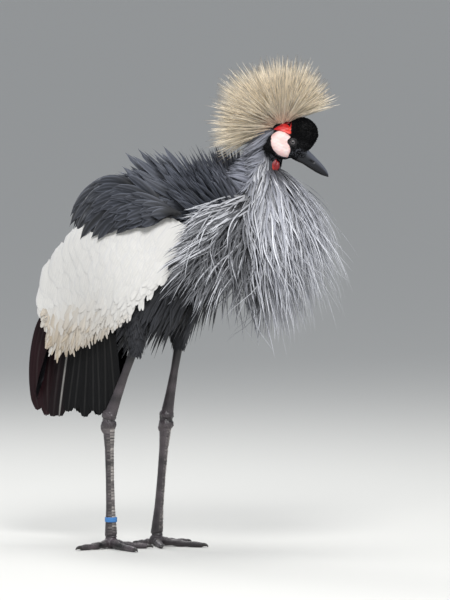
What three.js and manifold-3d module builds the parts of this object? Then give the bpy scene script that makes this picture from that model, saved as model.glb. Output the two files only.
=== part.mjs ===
// A grey crowned crane at life size, standing at rest with its plumage ruffled and its neck drawn in.
// Millimetres. +X is forward along the body, +Y is the bird's left, +Z is up, and the soles are at z = 0.
import * as THREE from "three";
import { mergeVertices } from "three/addons/utils/BufferGeometryUtils.js";
import Module from "manifold-3d";

const wasm = await Module();
wasm.setup();

// Driving dimensions
const gap = 0.3; // left between pieces that touch
const hockHeight = 226;
const rightFoot = [-22, -46]; // where each tarsus stands, x and y
const leftFoot = [18, 44];
const rightHock = [-26, -47, hockHeight];
const leftHock = [36, 46, hockHeight - 3];
const rightTibiaTop = [32, -44, 372];
const leftTibiaTop = [69, 42, 380];

const bodyCentre = [30, 0, 514]; // of the body under its feathers
const bodyHalf = [174, 72, 94]; // along, across and up
const bodyPitch = 21; // degrees, breast up
const rumpTaper = 0.22;

const neckLine = [
  [192, 0, 548],
  [229, 1, 592],
  [253, 5, 646],
  [268, 10, 702],
];
const neckRadius = [50, 37, 28, 22];
const neckCut = { point: [176, 0, 545], lean: 6 }; // where the neck parts from the body

const headPlace = [312, 12, 722]; // midway between the eyes
const headPitch = 36; // bill down
const headTurn = 24; // to the bird's left of the body's line
const eyeRadius = 6.2;
const eyeSide = 15; // of an eye's centre from the middle of the head
const eyeHeight = 2;
const billTip = [85, 0, -13]; // in the head's own frame: x to the bill, y left, z up
const crestReach = 104; // from the crown to the bristles' tips

const vaneThickness = 0.9;
const lockThickness = 1.6;

const deg = THREE.MathUtils.degToRad;
const { lerp, clamp } = THREE.MathUtils;
const vec = (p) => new THREE.Vector3(...p);
const up = new THREE.Vector3(0, 0, 1);
const sides = [
  ["right", -1],
  ["left", 1],
];

// Seeded draw: feathers vary as real ones do, and alike on each run.
function drawFrom(seed) {
  let state = seed;
  return (low, high) => {
    state = (state * 1664525 + 1013904223) % 4294967296;
    return low + (high - low) * (state / 4294967296);
  };
}

// A value read from an evenly spaced list at t from 0 to 1.
function valueAt(list, t) {
  const place = clamp(t, 0, 1) * (list.length - 1);
  const k = Math.min(Math.floor(place), list.length - 2);
  return lerp(list[k], list[k + 1], place - k);
}

// Solids
function solidOf(geometry) {
  const bare = new THREE.BufferGeometry().setAttribute("position", geometry.getAttribute("position"));
  if (geometry.index) bare.setIndex(geometry.index);
  const merged = mergeVertices(bare, 1e-3);
  const vertProperties = new Float32Array(merged.attributes.position.array);
  const triVerts = new Uint32Array(merged.index.array);
  const made = new wasm.Manifold(new wasm.Mesh({ numProp: 3, vertProperties, triVerts }));
  if (made.volume() > 0) return made;
  for (let i = 0; i < triVerts.length; i += 3) {
    [triVerts[i + 1], triVerts[i + 2]] = [triVerts[i + 2], triVerts[i + 1]];
  }
  return new wasm.Manifold(new wasm.Mesh({ numProp: 3, vertProperties, triVerts }));
}

function geometryOf(solid) {
  const mesh = solid.getMesh();
  const geometry = new THREE.BufferGeometry();
  geometry.setAttribute("position", new THREE.BufferAttribute(new Float32Array(mesh.vertProperties), 3));
  geometry.setIndex(new THREE.BufferAttribute(new Uint32Array(mesh.triVerts), 1));
  geometry.computeVertexNormals();
  return geometry;
}

const join = (solids) => solids.reduce((whole, piece) => whole.add(piece));
const cut = (solid, tools) => tools.reduce((left, tool) => left.subtract(tool), solid);

// The largest closed surface of a solid, without loose scraps or sealed hollows.
function largest(solid) {
  const bodies = solid.decompose();
  bodies.sort((a, b) => b.volume() - a.volume());
  return bodies[0];
}

// A closed skin over rings of equal length, shut by a point at each end.
function skinOver(rings) {
  const count = rings[0].length;
  const points = rings.flat();
  const faces = [];
  for (let r = 0; r + 1 < rings.length; r++) {
    for (let i = 0; i < count; i++) {
      const a = r * count + i;
      const b = r * count + ((i + 1) % count);
      faces.push(a, b, b + count, a, b + count, a + count);
    }
  }
  for (const r of [0, rings.length - 1]) {
    const middle = rings[r].reduce((sum, p) => sum.add(p), new THREE.Vector3()).divideScalar(count);
    points.push(middle);
    for (let i = 0; i < count; i++) {
      const edge = [r * count + i, r * count + ((i + 1) % count)];
      if (r === 0) edge.reverse();
      faces.push(points.length - 1, ...edge);
    }
  }
  return solidOf(new THREE.BufferGeometry().setFromPoints(points).setIndex(faces));
}

// A round tube through points, with a half width and half depth at each point.
function limb(points, widths, depths = widths, { sides = 10, steps = 12, side = [0, 1, 0] } = {}) {
  const line = new THREE.CatmullRomCurve3(points.map(vec));
  const rings = [];
  for (let k = 0; k <= steps; k++) {
    const t = k / steps;
    const centre = line.getPoint(t);
    const along = line.getTangent(t);
    const across = vec(side).addScaledVector(along, -along.dot(vec(side))).normalize();
    const out = new THREE.Vector3().crossVectors(along, across);
    const ring = [];
    for (let i = 0; i < sides; i++) {
      const angle = (i / sides) * 2 * Math.PI;
      ring.push(
        centre
          .clone()
          .addScaledVector(across, valueAt(widths, t) * Math.cos(angle))
          .addScaledVector(out, valueAt(depths, t) * Math.sin(angle)),
      );
    }
    rings.push(ring);
  }
  return skinOver(rings);
}

function ellipsoid(centre, half, { wide = 12, high = 8 } = {}) {
  const ball = new THREE.SphereGeometry(1, wide, high);
  ball.rotateX(Math.PI / 2);
  ball.scale(...half);
  ball.translate(...centre);
  return solidOf(ball);
}

// A box on one side of a plane, used to cut a whole form in two.
function halfSpace(point, facing, reach = 1200) {
  const block = new THREE.BoxGeometry(reach, reach, reach);
  block.translate(0, 0, reach / 2);
  const turn = new THREE.Quaternion().setFromUnitVectors(up, facing);
  block.applyQuaternion(turn);
  block.translate(...point);
  return solidOf(block);
}

// Feathers
// A flat strip over rings of four corners: left and right on top, then right and left under them.
// Both faces are split along the same diagonals, so a thin curved strip never crosses itself.
// It is cut square at its end, or drawn out to a tip point.
function strip(rings, tip) {
  const faces = [0, 1, 2, 0, 2, 3];
  for (let r = 0; r + 1 < rings.length; r++) {
    const [lt, rt, ru, lu] = [0, 1, 2, 3].map((i) => r * 4 + i);
    const next = 4;
    faces.push(lt, rt + next, rt, lt, lt + next, rt + next);
    faces.push(lu, ru, ru + next, lu, ru + next, lu + next);
    faces.push(rt, rt + next, ru + next, rt, ru + next, ru);
    faces.push(lt, lu + next, lt + next, lt, lu, lu + next);
  }
  const points = rings.flat();
  const last = points.length - 4;
  if (tip) {
    for (let i = 0; i < 4; i++) faces.push(points.length, last + ((i + 1) % 4), last + i);
    points.push(tip);
  } else {
    faces.push(last, last + 2, last + 1, last, last + 3, last + 2);
  }
  return solidOf(new THREE.BufferGeometry().setFromPoints(points).setIndex(faces));
}

// A vane along a line of points, each with its side direction, face direction and half width.
function vaneOver(points, thickness, grow, pointed = false) {
  const tip = pointed ? points.at(-1).at : undefined;
  const rings = (pointed ? points.slice(0, -1) : points).map(({ at, side, face, half }) => {
    const thick = face.clone().multiplyScalar(thickness / 2 + grow);
    const wide = side.clone().multiplyScalar(half + grow);
    return [
      at.clone().sub(wide).add(thick),
      at.clone().add(wide).add(thick),
      at.clone().add(wide).sub(thick),
      at.clone().sub(wide).sub(thick),
    ];
  });
  return strip(rings, tip);
}

const vaneShape = [0.6, 1, 0.4]; // share of the full width from root to tip
const plumeShape = [0.7, 1, 0];
const tipGrowth = 4; // how much further a grown plume reaches at its point, for each mm of growth

// A free feather that leaves a surface at a root, bends under its weight and tapers to its tip.
function plume(spec, thickness = vaneThickness) {
  const { root, way, face, length, width, droop = 0, tilt = 0, sway = 0, sink = 8, steps = 2 } = spec;
  return (lift, grow) => {
    const out = face.clone().addScaledVector(way, -face.dot(way)).normalize();
    const raised = way.clone().multiplyScalar(Math.cos(deg(lift))).addScaledVector(out, Math.sin(deg(lift)));
    const across = new THREE.Vector3().crossVectors(raised, out).normalize();
    across.addScaledVector(out, Math.tan(deg(tilt))).normalize();
    const points = [];
    for (let k = 0; k <= steps; k++) {
      const t = k / steps;
      const reach = lerp(-sink, length + tipGrowth * grow, t);
      const drop = droop * length * Math.max(0, reach / length) ** 2;
      const at = root.clone().addScaledVector(raised, reach).addScaledVector(up, -drop);
      at.addScaledVector(across, sway * t * t);
      const along = raised.clone().addScaledVector(up, (-2 * droop * Math.max(0, reach)) / length).normalize();
      const normal = new THREE.Vector3().crossVectors(across, along).normalize();
      points.push({ at, side: across, face: normal, half: (width / 2) * valueAt(plumeShape, t) });
    }
    return vaneOver(points, thickness, grow, true);
  };
}
const lock = (spec) => plume(spec, lockThickness);

function near(a, b) {
  const p = a.boundingBox();
  const q = b.boundingBox();
  return [0, 1, 2].every((k) => p.min[k] <= q.max[k] && q.min[k] <= p.max[k]);
}
const meets = (piece, others) => others.some((other) => near(piece, other) && !piece.intersect(other).isEmpty());

// Roots feathers in a core, each at the first lift that keeps it clear of the neighbours.
const extraLifts = [0, 5, 10, 16, 23, 31];
function dress(core, feathers, neighbours) {
  const kept = [];
  for (const made of feathers) {
    const lift = extraLifts.find((extra) => !meets(made(extra, gap), neighbours));
    if (lift !== undefined) kept.push(made(lift, 0));
  }
  return largest(wasm.Manifold.union([core, ...kept]));
}

// Body
const bodyFrame = new THREE.Matrix4().makeRotationY(-deg(bodyPitch)).setPosition(vec(bodyCentre));
const bodyTaper = (along) => 1 - rumpTaper * Math.max(0, -along) ** 2;

// A point of the body's skin for a unit direction, grown outwards.
function bodyPoint(unit, grow = 0) {
  const taper = bodyTaper(unit.x);
  const [long, wide, high] = bodyHalf.map((size) => size + grow);
  return new THREE.Vector3(unit.x * long, unit.y * wide * taper, unit.z * high * taper).applyMatrix4(bodyFrame);
}

function bodyForm(grow = 0) {
  const ball = new THREE.SphereGeometry(1, 16, 10);
  ball.rotateZ(-Math.PI / 2);
  const place = ball.getAttribute("position");
  for (let i = 0; i < place.count; i++) {
    const unit = new THREE.Vector3().fromBufferAttribute(place, i);
    place.setXYZ(i, ...bodyPoint(unit, grow));
  }
  return solidOf(ball);
}

// A root on the body's skin, from its place along the body and its angle round from the back.
function bodyRoot(along, round, side) {
  const ring = Math.sqrt(1 - along ** 2);
  const unit = new THREE.Vector3(along, side * ring * Math.sin(deg(round)), ring * Math.cos(deg(round)));
  const root = bodyPoint(unit, -1);
  const face = new THREE.Vector3(...bodyHalf.map((size, k) => unit.toArray()[k] / size)).normalize();
  return { root, face: face.transformDirection(bodyFrame) };
}

const neckFacing = new THREE.Vector3(Math.cos(deg(neckCut.lean)), 0, -Math.sin(deg(neckCut.lean)));
const neckPlane = (shift) => vec(neckCut.point).addScaledVector(neckFacing, shift).toArray();
const aheadOfCut = halfSpace(neckPlane(gap / 2), neckFacing);
const behindCut = halfSpace(neckPlane(-gap / 2), neckFacing.clone().negate());
const bodyCore = bodyForm();
const bodyGrown = bodyForm(gap);

// Head frame: x to the bill, y left, z up, with its origin midway between the eyes.
const headFrame = new THREE.Matrix4()
  .makeRotationZ(deg(headTurn))
  .multiply(new THREE.Matrix4().makeRotationY(deg(headPitch)))
  .setPosition(vec(headPlace));

function inHead(solid) {
  const geometry = geometryOf(solid);
  geometry.applyMatrix4(headFrame);
  return solidOf(geometry);
}

const shapes = {};

// Neck and head, cut apart square to the neck's line below the throat
const neckUp = vec(neckLine[3]).sub(vec(neckLine[2])).normalize();
const throatPoint = (shift) => vec(neckLine[3]).addScaledVector(neckUp, shift - 6).toArray();
const aboveThroat = halfSpace(throatPoint(gap / 2), neckUp);
const belowThroat = halfSpace(throatPoint(-gap / 2), neckUp.clone().negate());
const neckTube = (grow) => {
  const radius = neckRadius.map((size) => size + grow);
  return limb(neckLine, radius, radius, { sides: 12, steps: 5 });
};

const cap = { centre: [5, 0, 27], half: [29, 20, 25] }; // of velvet on the forehead
const grown = (sizes, grow) => sizes.map((size) => size + grow);
const stretched = (line, grow) => {
  const ends = [[line[0], line[1]], [line.at(-1), line.at(-2)]];
  const [first, last] = ends.map(([end, next]) =>
    vec(end).addScaledVector(vec(end).sub(vec(next)).normalize(), grow).toArray(),
  );
  return [first, ...line.slice(1, -1), last];
};
const skullForm = (grow) =>
  join([
    ellipsoid([-12, 0, -1], grown([36, 19, 24], grow)),
    ellipsoid(cap.centre, grown(cap.half, grow)),
    ellipsoid([-12, 0, -16], grown([25, 18, 22], grow)),
    ellipsoid([14, 0, -8], grown([24, 13, 15], grow)),
  ]);
const billRoot = 28; // of the bill from the eyes, along the head
const faceBack = halfSpace([billRoot, 0, 8], new THREE.Vector3(-1, 0, 0));
const aboveGape = halfSpace([0, 0, 4], up);

const eyeBall = (side, grow) =>
  inHead(ellipsoid([0, side * eyeSide, eyeHeight], Array(3).fill(eyeRadius + grow), { wide: 12, high: 6 }));
const lidRim = (side) => ellipsoid([0, side * 14, eyeHeight], [8.6, 5.6, 8], { wide: 12, high: 6 });

// A patch of bare skin raised on the side of the head, inside an outline of x and z points.
function facePatch(side, outline, rise) {
  const shape = new THREE.Shape(outline.map(([x, z]) => new THREE.Vector2(x, z)));
  const prism = new THREE.ExtrudeGeometry(shape, { depth: 40, bevelEnabled: false });
  prism.rotateX(Math.PI / 2);
  if (side > 0) prism.translate(0, 42, 0);
  return skullForm(rise).intersect(solidOf(prism)).subtract(skullForm(gap));
}
const cheekOutline = [
  [-39, -11],
  [-31, -24],
  [-19, -32],
  [-6, -33.5],
  [7, -29],
  [8, -22],
  [5, -12],
  [-7, -4],
  [-9, 2],
  [-8, 8],
  [-17, 10],
  [-25, 7.5],
  [-33, 1],
];
const redOutline = [
  [-39, 2],
  [-33, 2],
  [-25, 8.5],
  [-17, 11],
  [-11, 12],
  [-20, 27],
  [-26, 30],
];

// Bill, as a whole form that the mouth line parts, with a nostril slot in each side
const billWhole = limb(
  [
    [billRoot - 4, 0, -9],
    [46, 0, -10],
    [66, 0, -11],
    billTip,
  ],
  [11.5, 9, 7, 5, 1.2],
  [12.5, 11, 9.4, 6.4, 1.2],
  { sides: 10, steps: 6 },
);
const mouthPoint = [billRoot, 0, -17.5];
const mouthUp = new THREE.Vector3(-0.09, 0, 1).normalize();
const mouthSide = (sign) =>
  halfSpace(
    vec(mouthPoint).addScaledVector(mouthUp, (sign * gap) / 2).toArray(),
    mouthUp.clone().multiplyScalar(sign),
  );
const billFront = halfSpace([billRoot + gap, 0, 0], new THREE.Vector3(1, 0, 0));
const capGrown = ellipsoid(cap.centre, grown(cap.half, gap));
const nostrils = sides.map(([, side]) => ellipsoid([46, side * 8, -6.6], [4.6, 3.4, 1.3], { wide: 8, high: 4 }));
const billOf = (sign) => cut(billWhole, [capGrown, ...nostrils]).intersect(billFront).intersect(mouthSide(sign));

// The crest's pad of skin runs over the back of the crown, and its bristles fan out of it.
const padLine = [
  [-28, 0, 33],
  [-41, 0, 17],
  [-49, 0, -6],
];
const crestPad = (grow) =>
  limb(stretched(padLine, grow), grown([7, 13, 7], grow), grown([6, 10, 6], grow), { sides: 10, steps: 6 });

shapes.head = largest(
  cut(inHead(join([skullForm(0), ...sides.map(([, side]) => lidRim(side))]).intersect(faceBack.add(aboveGape)))
    .add(neckTube(0).intersect(aboveThroat)), [
    inHead(crestPad(gap)),
    eyeBall(1, gap),
    eyeBall(-1, gap),
    inHead(billWhole.intersect(billFront)),
    belowThroat,
  ]),
);
const lidsGrown = sides.map(([, side]) => ellipsoid([0, side * 14, eyeHeight], [8.9, 5.9, 8.3], { wide: 12, high: 6 }));
for (const [name, side] of sides) {
  const clear = (patch) => largest(inHead(cut(patch, [...lidsGrown, crestPad(gap)])));
  shapes[`eye_${name}`] = eyeBall(side, 0);
  shapes[`cheek_${name}`] = clear(facePatch(side, cheekOutline, 1.6));
  shapes[`red_patch_${name}`] = clear(facePatch(side, redOutline, 1.2));
}
shapes.bill_upper = inHead(largest(billOf(1)));
shapes.bill_lower = inHead(largest(billOf(-1)));

// Wattle: two small folds of red skin side by side under the chin
const headGrown = join([inHead(skullForm(gap)), neckTube(gap)]);
const wattleFolds = join([-1, 1].map((side) => ellipsoid([-4, side * 2.2, -47], [9, 4, 11], { wide: 10, high: 6 })));
shapes.wattle = largest(inHead(wattleFolds).subtract(headGrown));

// Legs
const ankleHeight = 24;
const tarsusForm = (hock, foot, grow) =>
  limb([hock, [...foot, ankleHeight]], grown([9, 5.6, 5.2, 5.4, 8], grow), grown([11, 7.5, 7, 7.5, 10], grow), {
    sides: 8,
    steps: 6,
  });
const legForm = ({ hock, foot, top }, grow = 0) =>
  join([
    limb([top, hock], grown([9, 7, 6, 7, 10], grow), grown([10, 8, 7, 9, 12], grow), { sides: 8, steps: 5 }),
    ellipsoid(hock, grown([12.5, 10.5, 15], grow), { wide: 8, high: 6 }),
    tarsusForm(hock, foot, grow),
  ]);

const aboveFloor = halfSpace([0, 0, 0], up);
const clawLength = 12;
const toeWay = (angle) => new THREE.Vector3(Math.cos(deg(angle)), Math.sin(deg(angle)), 0);
const toePoint = (foot, angle, distance, height) => [
  foot[0] + toeWay(angle).x * distance,
  foot[1] + toeWay(angle).y * distance,
  height,
];

function footForm(foot, toes) {
  const parts = [
    ellipsoid([...foot, 9], [13, 12, 12], { wide: 8, high: 6 }),
    limb([[...foot, ankleHeight + 10], [...foot, 8]], [6.5, 10], [8, 12], { sides: 8, steps: 2 }),
  ];
  for (const { angle, length } of toes) {
    const at = (distance, height) => toePoint(foot, angle, distance, height);
    const line = [at(0, 14), at(length * 0.25, 8), at(length * 0.6, 5), at(length + 4, 4.4)];
    const girth = [8, 6.6, 7, 5.6, 6, 4.4];
    const toe = limb(line, girth, girth, { sides: 6, steps: 4, side: [0, 0, 1] });
    parts.push(toe.intersect(halfSpace(at(length, 0), toeWay(angle).negate())));
  }
  return join(parts);
}

// A curved claw, cut square where it leaves its toe.
function clawForm(foot, { angle, length }) {
  const at = (distance, height) => toePoint(foot, angle, distance, height);
  const line = [at(length - 3, 4.4), at(length + 4, 5.2), at(length + clawLength, 1.4)];
  const whole = limb(line, [3.8, 3.4, 2.4, 0.6], [3, 2.8, 2, 0.6], { sides: 5, steps: 3, side: [0, 0, 1] });
  return whole.intersect(halfSpace(at(length + gap, 0), toeWay(angle))).intersect(aboveFloor);
}

const legs = {
  right: {
    foot: rightFoot,
    hock: rightHock,
    top: rightTibiaTop,
    toes: [
      { angle: -112, length: 66 },
      { angle: -32, length: 88 },
      { angle: 30, length: 62 },
      { angle: 172, length: 34 },
    ],
  },
  left: {
    foot: leftFoot,
    hock: leftHock,
    top: leftTibiaTop,
    toes: [
      { angle: 68, length: 66 },
      { angle: 5, length: 88 },
      { angle: -52, length: 58 },
      { angle: 190, length: 34 },
    ],
  },
};
for (const [name, leg] of Object.entries(legs)) {
  const shinDown = vec(leg.hock).sub(vec(leg.top)).normalize();
  const inThigh = vec(leg.top).addScaledVector(shinDown, -20).toArray();
  shapes[`leg_${name}`] = legForm({ ...leg, top: inThigh })
    .intersect(halfSpace([...leg.foot, ankleHeight + gap], up))
    .intersect(halfSpace(vec(leg.top).addScaledVector(shinDown, gap).toArray(), shinDown));
  shapes[`foot_${name}`] = footForm(leg.foot, leg.toes)
    .intersect(halfSpace([...leg.foot, ankleHeight], up.clone().negate()))
    .intersect(aboveFloor);
  leg.toes.forEach((toe, i) => {
    shapes[`claw_${name}_${i + 1}`] = clawForm(leg.foot, toe);
  });
}

// Ring of plastic round the right leg, just above the foot
const ringHeight = 51;
const ringBand = new THREE.CylinderGeometry(11, 11, 9, 16);
ringBand.rotateX(Math.PI / 2);
ringBand.translate(...rightFoot, ringHeight);
shapes.leg_ring = largest(solidOf(ringBand).subtract(tarsusForm(rightHock, rightFoot, gap)));

// A feathered thigh, flat where the bare shin leaves it.
function thighForm({ top, hock }, grow = 0) {
  const shinUp = vec(top).sub(vec(hock)).normalize();
  const knee = vec(top).addScaledVector(shinUp, 90);
  knee.y *= 0.8;
  const line = [knee.toArray(), vec(top).addScaledVector(shinUp, -10).toArray()];
  const girth = grown([30, 24, 16, 12], grow);
  return limb(line, girth, girth, { sides: 10, steps: 4 }).intersect(halfSpace(top, shinUp));
}
const thighs = Object.values(legs).map((leg) => thighForm(leg));
const flanks = [bodyGrown, ...Object.values(legs).map((leg) => thighForm(leg, gap))];
const legsGrown = Object.values(legs).map((leg) => legForm(leg, gap));

// Tail: stiff feathers in a low fan from the rump
const tailLine = [
  [-104, 0, 462],
  [-130, 0, 440],
  [-148, 0, 404],
];
const tailCore = (grow) =>
  limb(stretched(tailLine, grow), grown([20, 22, 17], grow), grown([20, 16, 9], grow), { sides: 10, steps: 4 });
const tailPairs = 4;
const tailWay = new THREE.Vector3(-0.29, 0, -0.96).normalize();
const tailFace = new THREE.Vector3(-0.96, 0, 0.29).normalize();
const tailFeathers = [];
for (let k = 0; k < tailPairs; k++) {
  for (const side of k === 0 ? [1] : [1, -1]) {
    const order = 2 * k - (side > 0 ? 1 : 0); // the middle feather lies on top of the others
    tailFeathers.push(
      plume({
        root: new THREE.Vector3(-143, side * 3 * k, 418).addScaledVector(tailFace, 6 - 1.5 * order),
        way: tailWay.clone().add(new THREE.Vector3(0, side * 0.02 * k, 0)).normalize(),
        face: tailFace,
        length: 186 - 7 * k,
        width: 23,
        sink: 14,
      }),
    );
  }
}
shapes.tail = dress(tailCore(0).subtract(bodyGrown), tailFeathers, [bodyGrown]);

// Wings: each folded wing hangs on a surface that stands off the body's side.
const wingMiddle = [25, 500];
function standOff(x, z) {
  const away = ((x - wingMiddle[0]) / 142) ** 2 + ((z - wingMiddle[1]) / 175) ** 2;
  return 36 + 58 * Math.exp(-away);
}
const curveOf = (points) => new THREE.CatmullRomCurve3(points.map(([x, z]) => new THREE.Vector3(x, 0, z)));
const wingTop = curveOf([
  [138, 572],
  [85, 597],
  [10, 596],
  [-75, 562],
  [-140, 500],
]);
const wingBottom = curveOf([
  [114, 478],
  [72, 440],
  [12, 408],
  [-68, 388],
  [-158, 400],
]);
const inWing = (a, b) => wingTop.getPoint(a).lerp(wingBottom.getPoint(a), b);

// A curved slab over part of the wing, between two depths inside its surface.
function wingSlab(side, [a0, a1], [b0, b1], outer, inner, steps) {
  const rows = 4;
  const rings = [];
  for (let k = 0; k <= steps; k++) {
    const a = lerp(a0, a1, k / steps);
    const ring = [];
    for (const depth of [outer, inner]) {
      for (let j = 0; j <= rows; j++) {
        const b = depth === outer ? lerp(b0, b1, j / rows) : lerp(b1, b0, j / rows);
        const p = inWing(a, b);
        p.y = side * (standOff(p.x, p.z) - depth(p.x, p.z));
        ring.push(p);
      }
    }
    rings.push(ring);
  }
  return skinOver(rings);
}

// A feather laid on the wing: from under its surface it comes out at its root and lies close over it.
function laidVane({ x, z, angle, length, width, heights, side, bend = 0, inward = 0, tilt = 0, steps = 2 }) {
  return (extra, grow) => {
    const at = (reach) => {
      const t = Math.max(0, reach / length);
      const turn = deg(angle + bend * t);
      const px = x - Math.cos(turn) * reach;
      const pz = z - Math.sin(turn) * reach;
      const height = valueAt(heights, t) + extra * 0.25 * t - inward * t * t;
      return new THREE.Vector3(px, side * (standOff(px, pz) + height), pz);
    };
    const outward = new THREE.Vector3(0, side, 0);
    const points = [];
    for (let k = 0; k <= steps; k++) {
      const t = k / steps;
      const reach = (length + grow) * t;
      const along = at(reach + 2).sub(at(reach - 2)).normalize();
      const across = new THREE.Vector3().crossVectors(along, outward).normalize();
      across.addScaledVector(outward, side * Math.tan(deg(tilt))).normalize();
      const face = new THREE.Vector3().crossVectors(across, along).normalize();
      points.push({ at: at(reach), side: across, face, half: (width / 2) * valueAt(vaneShape, t) });
    }
    return vaneOver(points, vaneThickness, grow);
  };
}

const coverThickness = 7;
const coverInner = (x, z) => coverThickness + 38 * Math.exp(-(((x - 30) / 110) ** 2) - ((z - 500) / 62) ** 2);
const coverRows = [
  { across: 0.27, count: 5, lengths: [62, 70], width: 44 },
  { across: 0.46, count: 6, lengths: [62, 76], width: 38 },
  { across: 0.66, count: 6, lengths: [60, 92], width: 38 },
  { across: 0.86, count: 7, lengths: [48, 84], width: 33 },
];
const tertialCount = 7;
const tertialAngles = [-16, -4, 4, 10, 13];
const tertialLengths = [142, 168, 182, 180, 150];
const remexCount = 7;
const remexLengths = [162, 172, 184, 192, 192, 180];
for (const [name, side] of sides) {
  const draw = drawFrom(side > 0 ? 11 : 12);
  const wholeSlab = (grow) => wingSlab(side, [0, 1], [0, 1], () => -grow, (x, z) => coverInner(x, z) + grow, 8);
  const besideSlab = (solid) => largest(cut(solid, [wholeSlab(gap), ...flanks]));
  const coverts = [];
  for (const { across, count, lengths, width } of coverRows) {
    for (let k = count - 1; k >= 0; k--) {
      const a = (k + 0.5) / count;
      const p = inWing(a, across);
      coverts.push(
        laidVane({
          x: p.x,
          z: p.z,
          angle: lerp(56, 68, a) + draw(-2, 2),
          length: lerp(...lengths, a) * draw(0.94, 1.06),
          width,
          heights: [-3.5, 1, 2.4, 5.2],
          tilt: 5,
          side,
        }),
      );
    }
  }
  const tertialBase = besideSlab(wingSlab(side, [0.12, 0.38], [0, 0.2], () => -7.5, () => 4, 3));
  shapes[`wing_${name}`] = dress(largest(cut(wholeSlab(0), flanks)), coverts, [shapes.tail, tertialBase, ...flanks]);

  const tertials = [];
  for (let k = 0; k < tertialCount; k++) {
    const t = k / (tertialCount - 1);
    const bend = lerp(18, 10, t);
    tertials.push(
      laidVane({
        x: lerp(90, 100, t) + draw(-4, 4),
        z: lerp(594, 576, t),
        angle: valueAt(tertialAngles, t) - bend + draw(-1, 1),
        bend,
        length: valueAt(tertialLengths, t) * draw(0.97, 1.03),
        width: 31,
        heights: [3.5, 8 + 1.3 * k, 9 + 1.3 * k, 8 + 1.3 * k],
        inward: lerp(30, 2, t),
        tilt: -6,
        steps: 4,
        side,
      }),
    );
  }
  shapes[`tertials_${name}`] = dress(tertialBase, tertials, [shapes[`wing_${name}`], shapes.tail, ...flanks]);

  const remiges = [];
  for (let k = 0; k < remexCount; k++) {
    const t = k / (remexCount - 1);
    const [x, z] = [lerp(-24, -146, t), lerp(404, 412, t)];
    const depth = coverInner(x, z) + 2.4 + 1.3 * k;
    remiges.push(
      laidVane({
        x,
        z,
        angle: lerp(84, 67, t),
        length: valueAt(remexLengths, t) + draw(-3, 3),
        width: 28,
        heights: [-depth, -depth],
        side,
      }),
    );
  }
  const band = wingSlab(side, [0.6, 0.98], [0.74, 0.97], () => coverThickness - 4, (x, z) => coverInner(x, z) + 12, 4);
  shapes[`remiges_${name}`] = dress(besideSlab(band), remiges, [
    shapes[`wing_${name}`],
    shapes.tail,
    ...flanks,
  ]);
}
const folded = ["wing", "tertials", "remiges"].flatMap((part) => sides.map(([name]) => shapes[`${part}_${name}`]));
folded.push(shapes.tail);

// Body plumes, in rows from the neck to the rump: raised over the back, hanging on the side and belly
const plumeRows = [
  { along: 0.9, rounds: [0, 36, 66], way: [-0.34, 0.16, 0.93], length: 136, lift: 0, droop: 0.06 },
  { along: 0.74, rounds: [0, 26, 50], way: [-0.6, 0.16, 0.78], length: 128, lift: 0, droop: 0.08 },
  { along: 0.52, rounds: [0, 22, 44], way: [-0.82, 0.16, 0.56], length: 126, lift: 0, droop: 0.12 },
  { along: 0.28, rounds: [0, 20, 40], way: [-0.92, 0.12, 0.4], length: 124, lift: 0, droop: 0.16 },
  { along: 0.02, rounds: [0, 20, 40], way: [-0.95, 0.1, 0.26], length: 118, lift: 0, droop: 0.2 },
  { along: -0.26, rounds: [0, 22, 44], way: [-0.97, 0.1, 0.06], length: 92, lift: 8, droop: 0.2 },
  { along: 0.9, rounds: [66, 92, 118, 146, 180], way: [-0.66, 0.12, -0.74], length: 112, lift: 12, droop: 0.04 },
  { along: 0.76, rounds: [56, 76, 96], way: [-0.82, 0.1, -0.55], length: 112, lift: 14, droop: 0 },
  { along: 0.76, rounds: [116, 138, 162], way: [-0.3, 0.1, -0.95], length: 122, lift: 6, droop: 0 },
  { along: 0.58, rounds: [116, 134, 152, 180], way: [-0.4, 0.1, -0.9], length: 112, lift: 8, droop: 0 },
  { along: 0.34, rounds: [134, 156], way: [-0.5, 0.06, -0.85], length: 98, lift: 12, droop: 0 },
  { along: 0.1, rounds: [140, 160, 180], way: [-0.6, 0.06, -0.8], length: 90, lift: 14, droop: 0.05 },
  { along: -0.16, rounds: [142, 166], way: [-0.74, 0.04, -0.66], length: 84, lift: 14, droop: 0.05 },
  { along: -0.44, rounds: [130, 155, 180], way: [-0.84, 0.04, -0.5], length: 76, lift: 12, droop: 0.05 },
];
const drawPlume = drawFrom(5);
const plumes = [];
for (const { along, rounds, way, length, lift, droop } of plumeRows) {
  for (const round of rounds) {
    for (const side of round === 0 || round === 180 ? [1] : [1, -1]) {
      const { root, face } = bodyRoot(along + drawPlume(-0.04, 0.04), round + drawPlume(-4, 4), side);
      const spread = new THREE.Vector3(way[0], side * way[1] * Math.sin(deg(round)) * 2, way[2]);
      spread.y += drawPlume(-0.08, 0.08);
      plumes.push(
        plume({
          root,
          way: spread.normalize().addScaledVector(face, Math.tan(deg(lift))).normalize(),
          face,
          length: length * drawPlume(0.9, 1.1),
          width: drawPlume(25, 31),
          droop: droop + drawPlume(-0.03, 0.05),
          tilt: side * drawPlume(4, 12),
        }),
      );
    }
  }
}
const torsoCore = cut(join([bodyCore, ...thighs]).intersect(behindCut), [tailCore(gap), ...legsGrown]);
const neckCore = bodyCore.add(neckTube(0)).intersect(aheadOfCut).intersect(belowThroat);
shapes.torso = dress(torsoCore, plumes, [
  ...folded,
  ...legsGrown,
  shapes.head,
  neckCore,
]);

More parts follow.
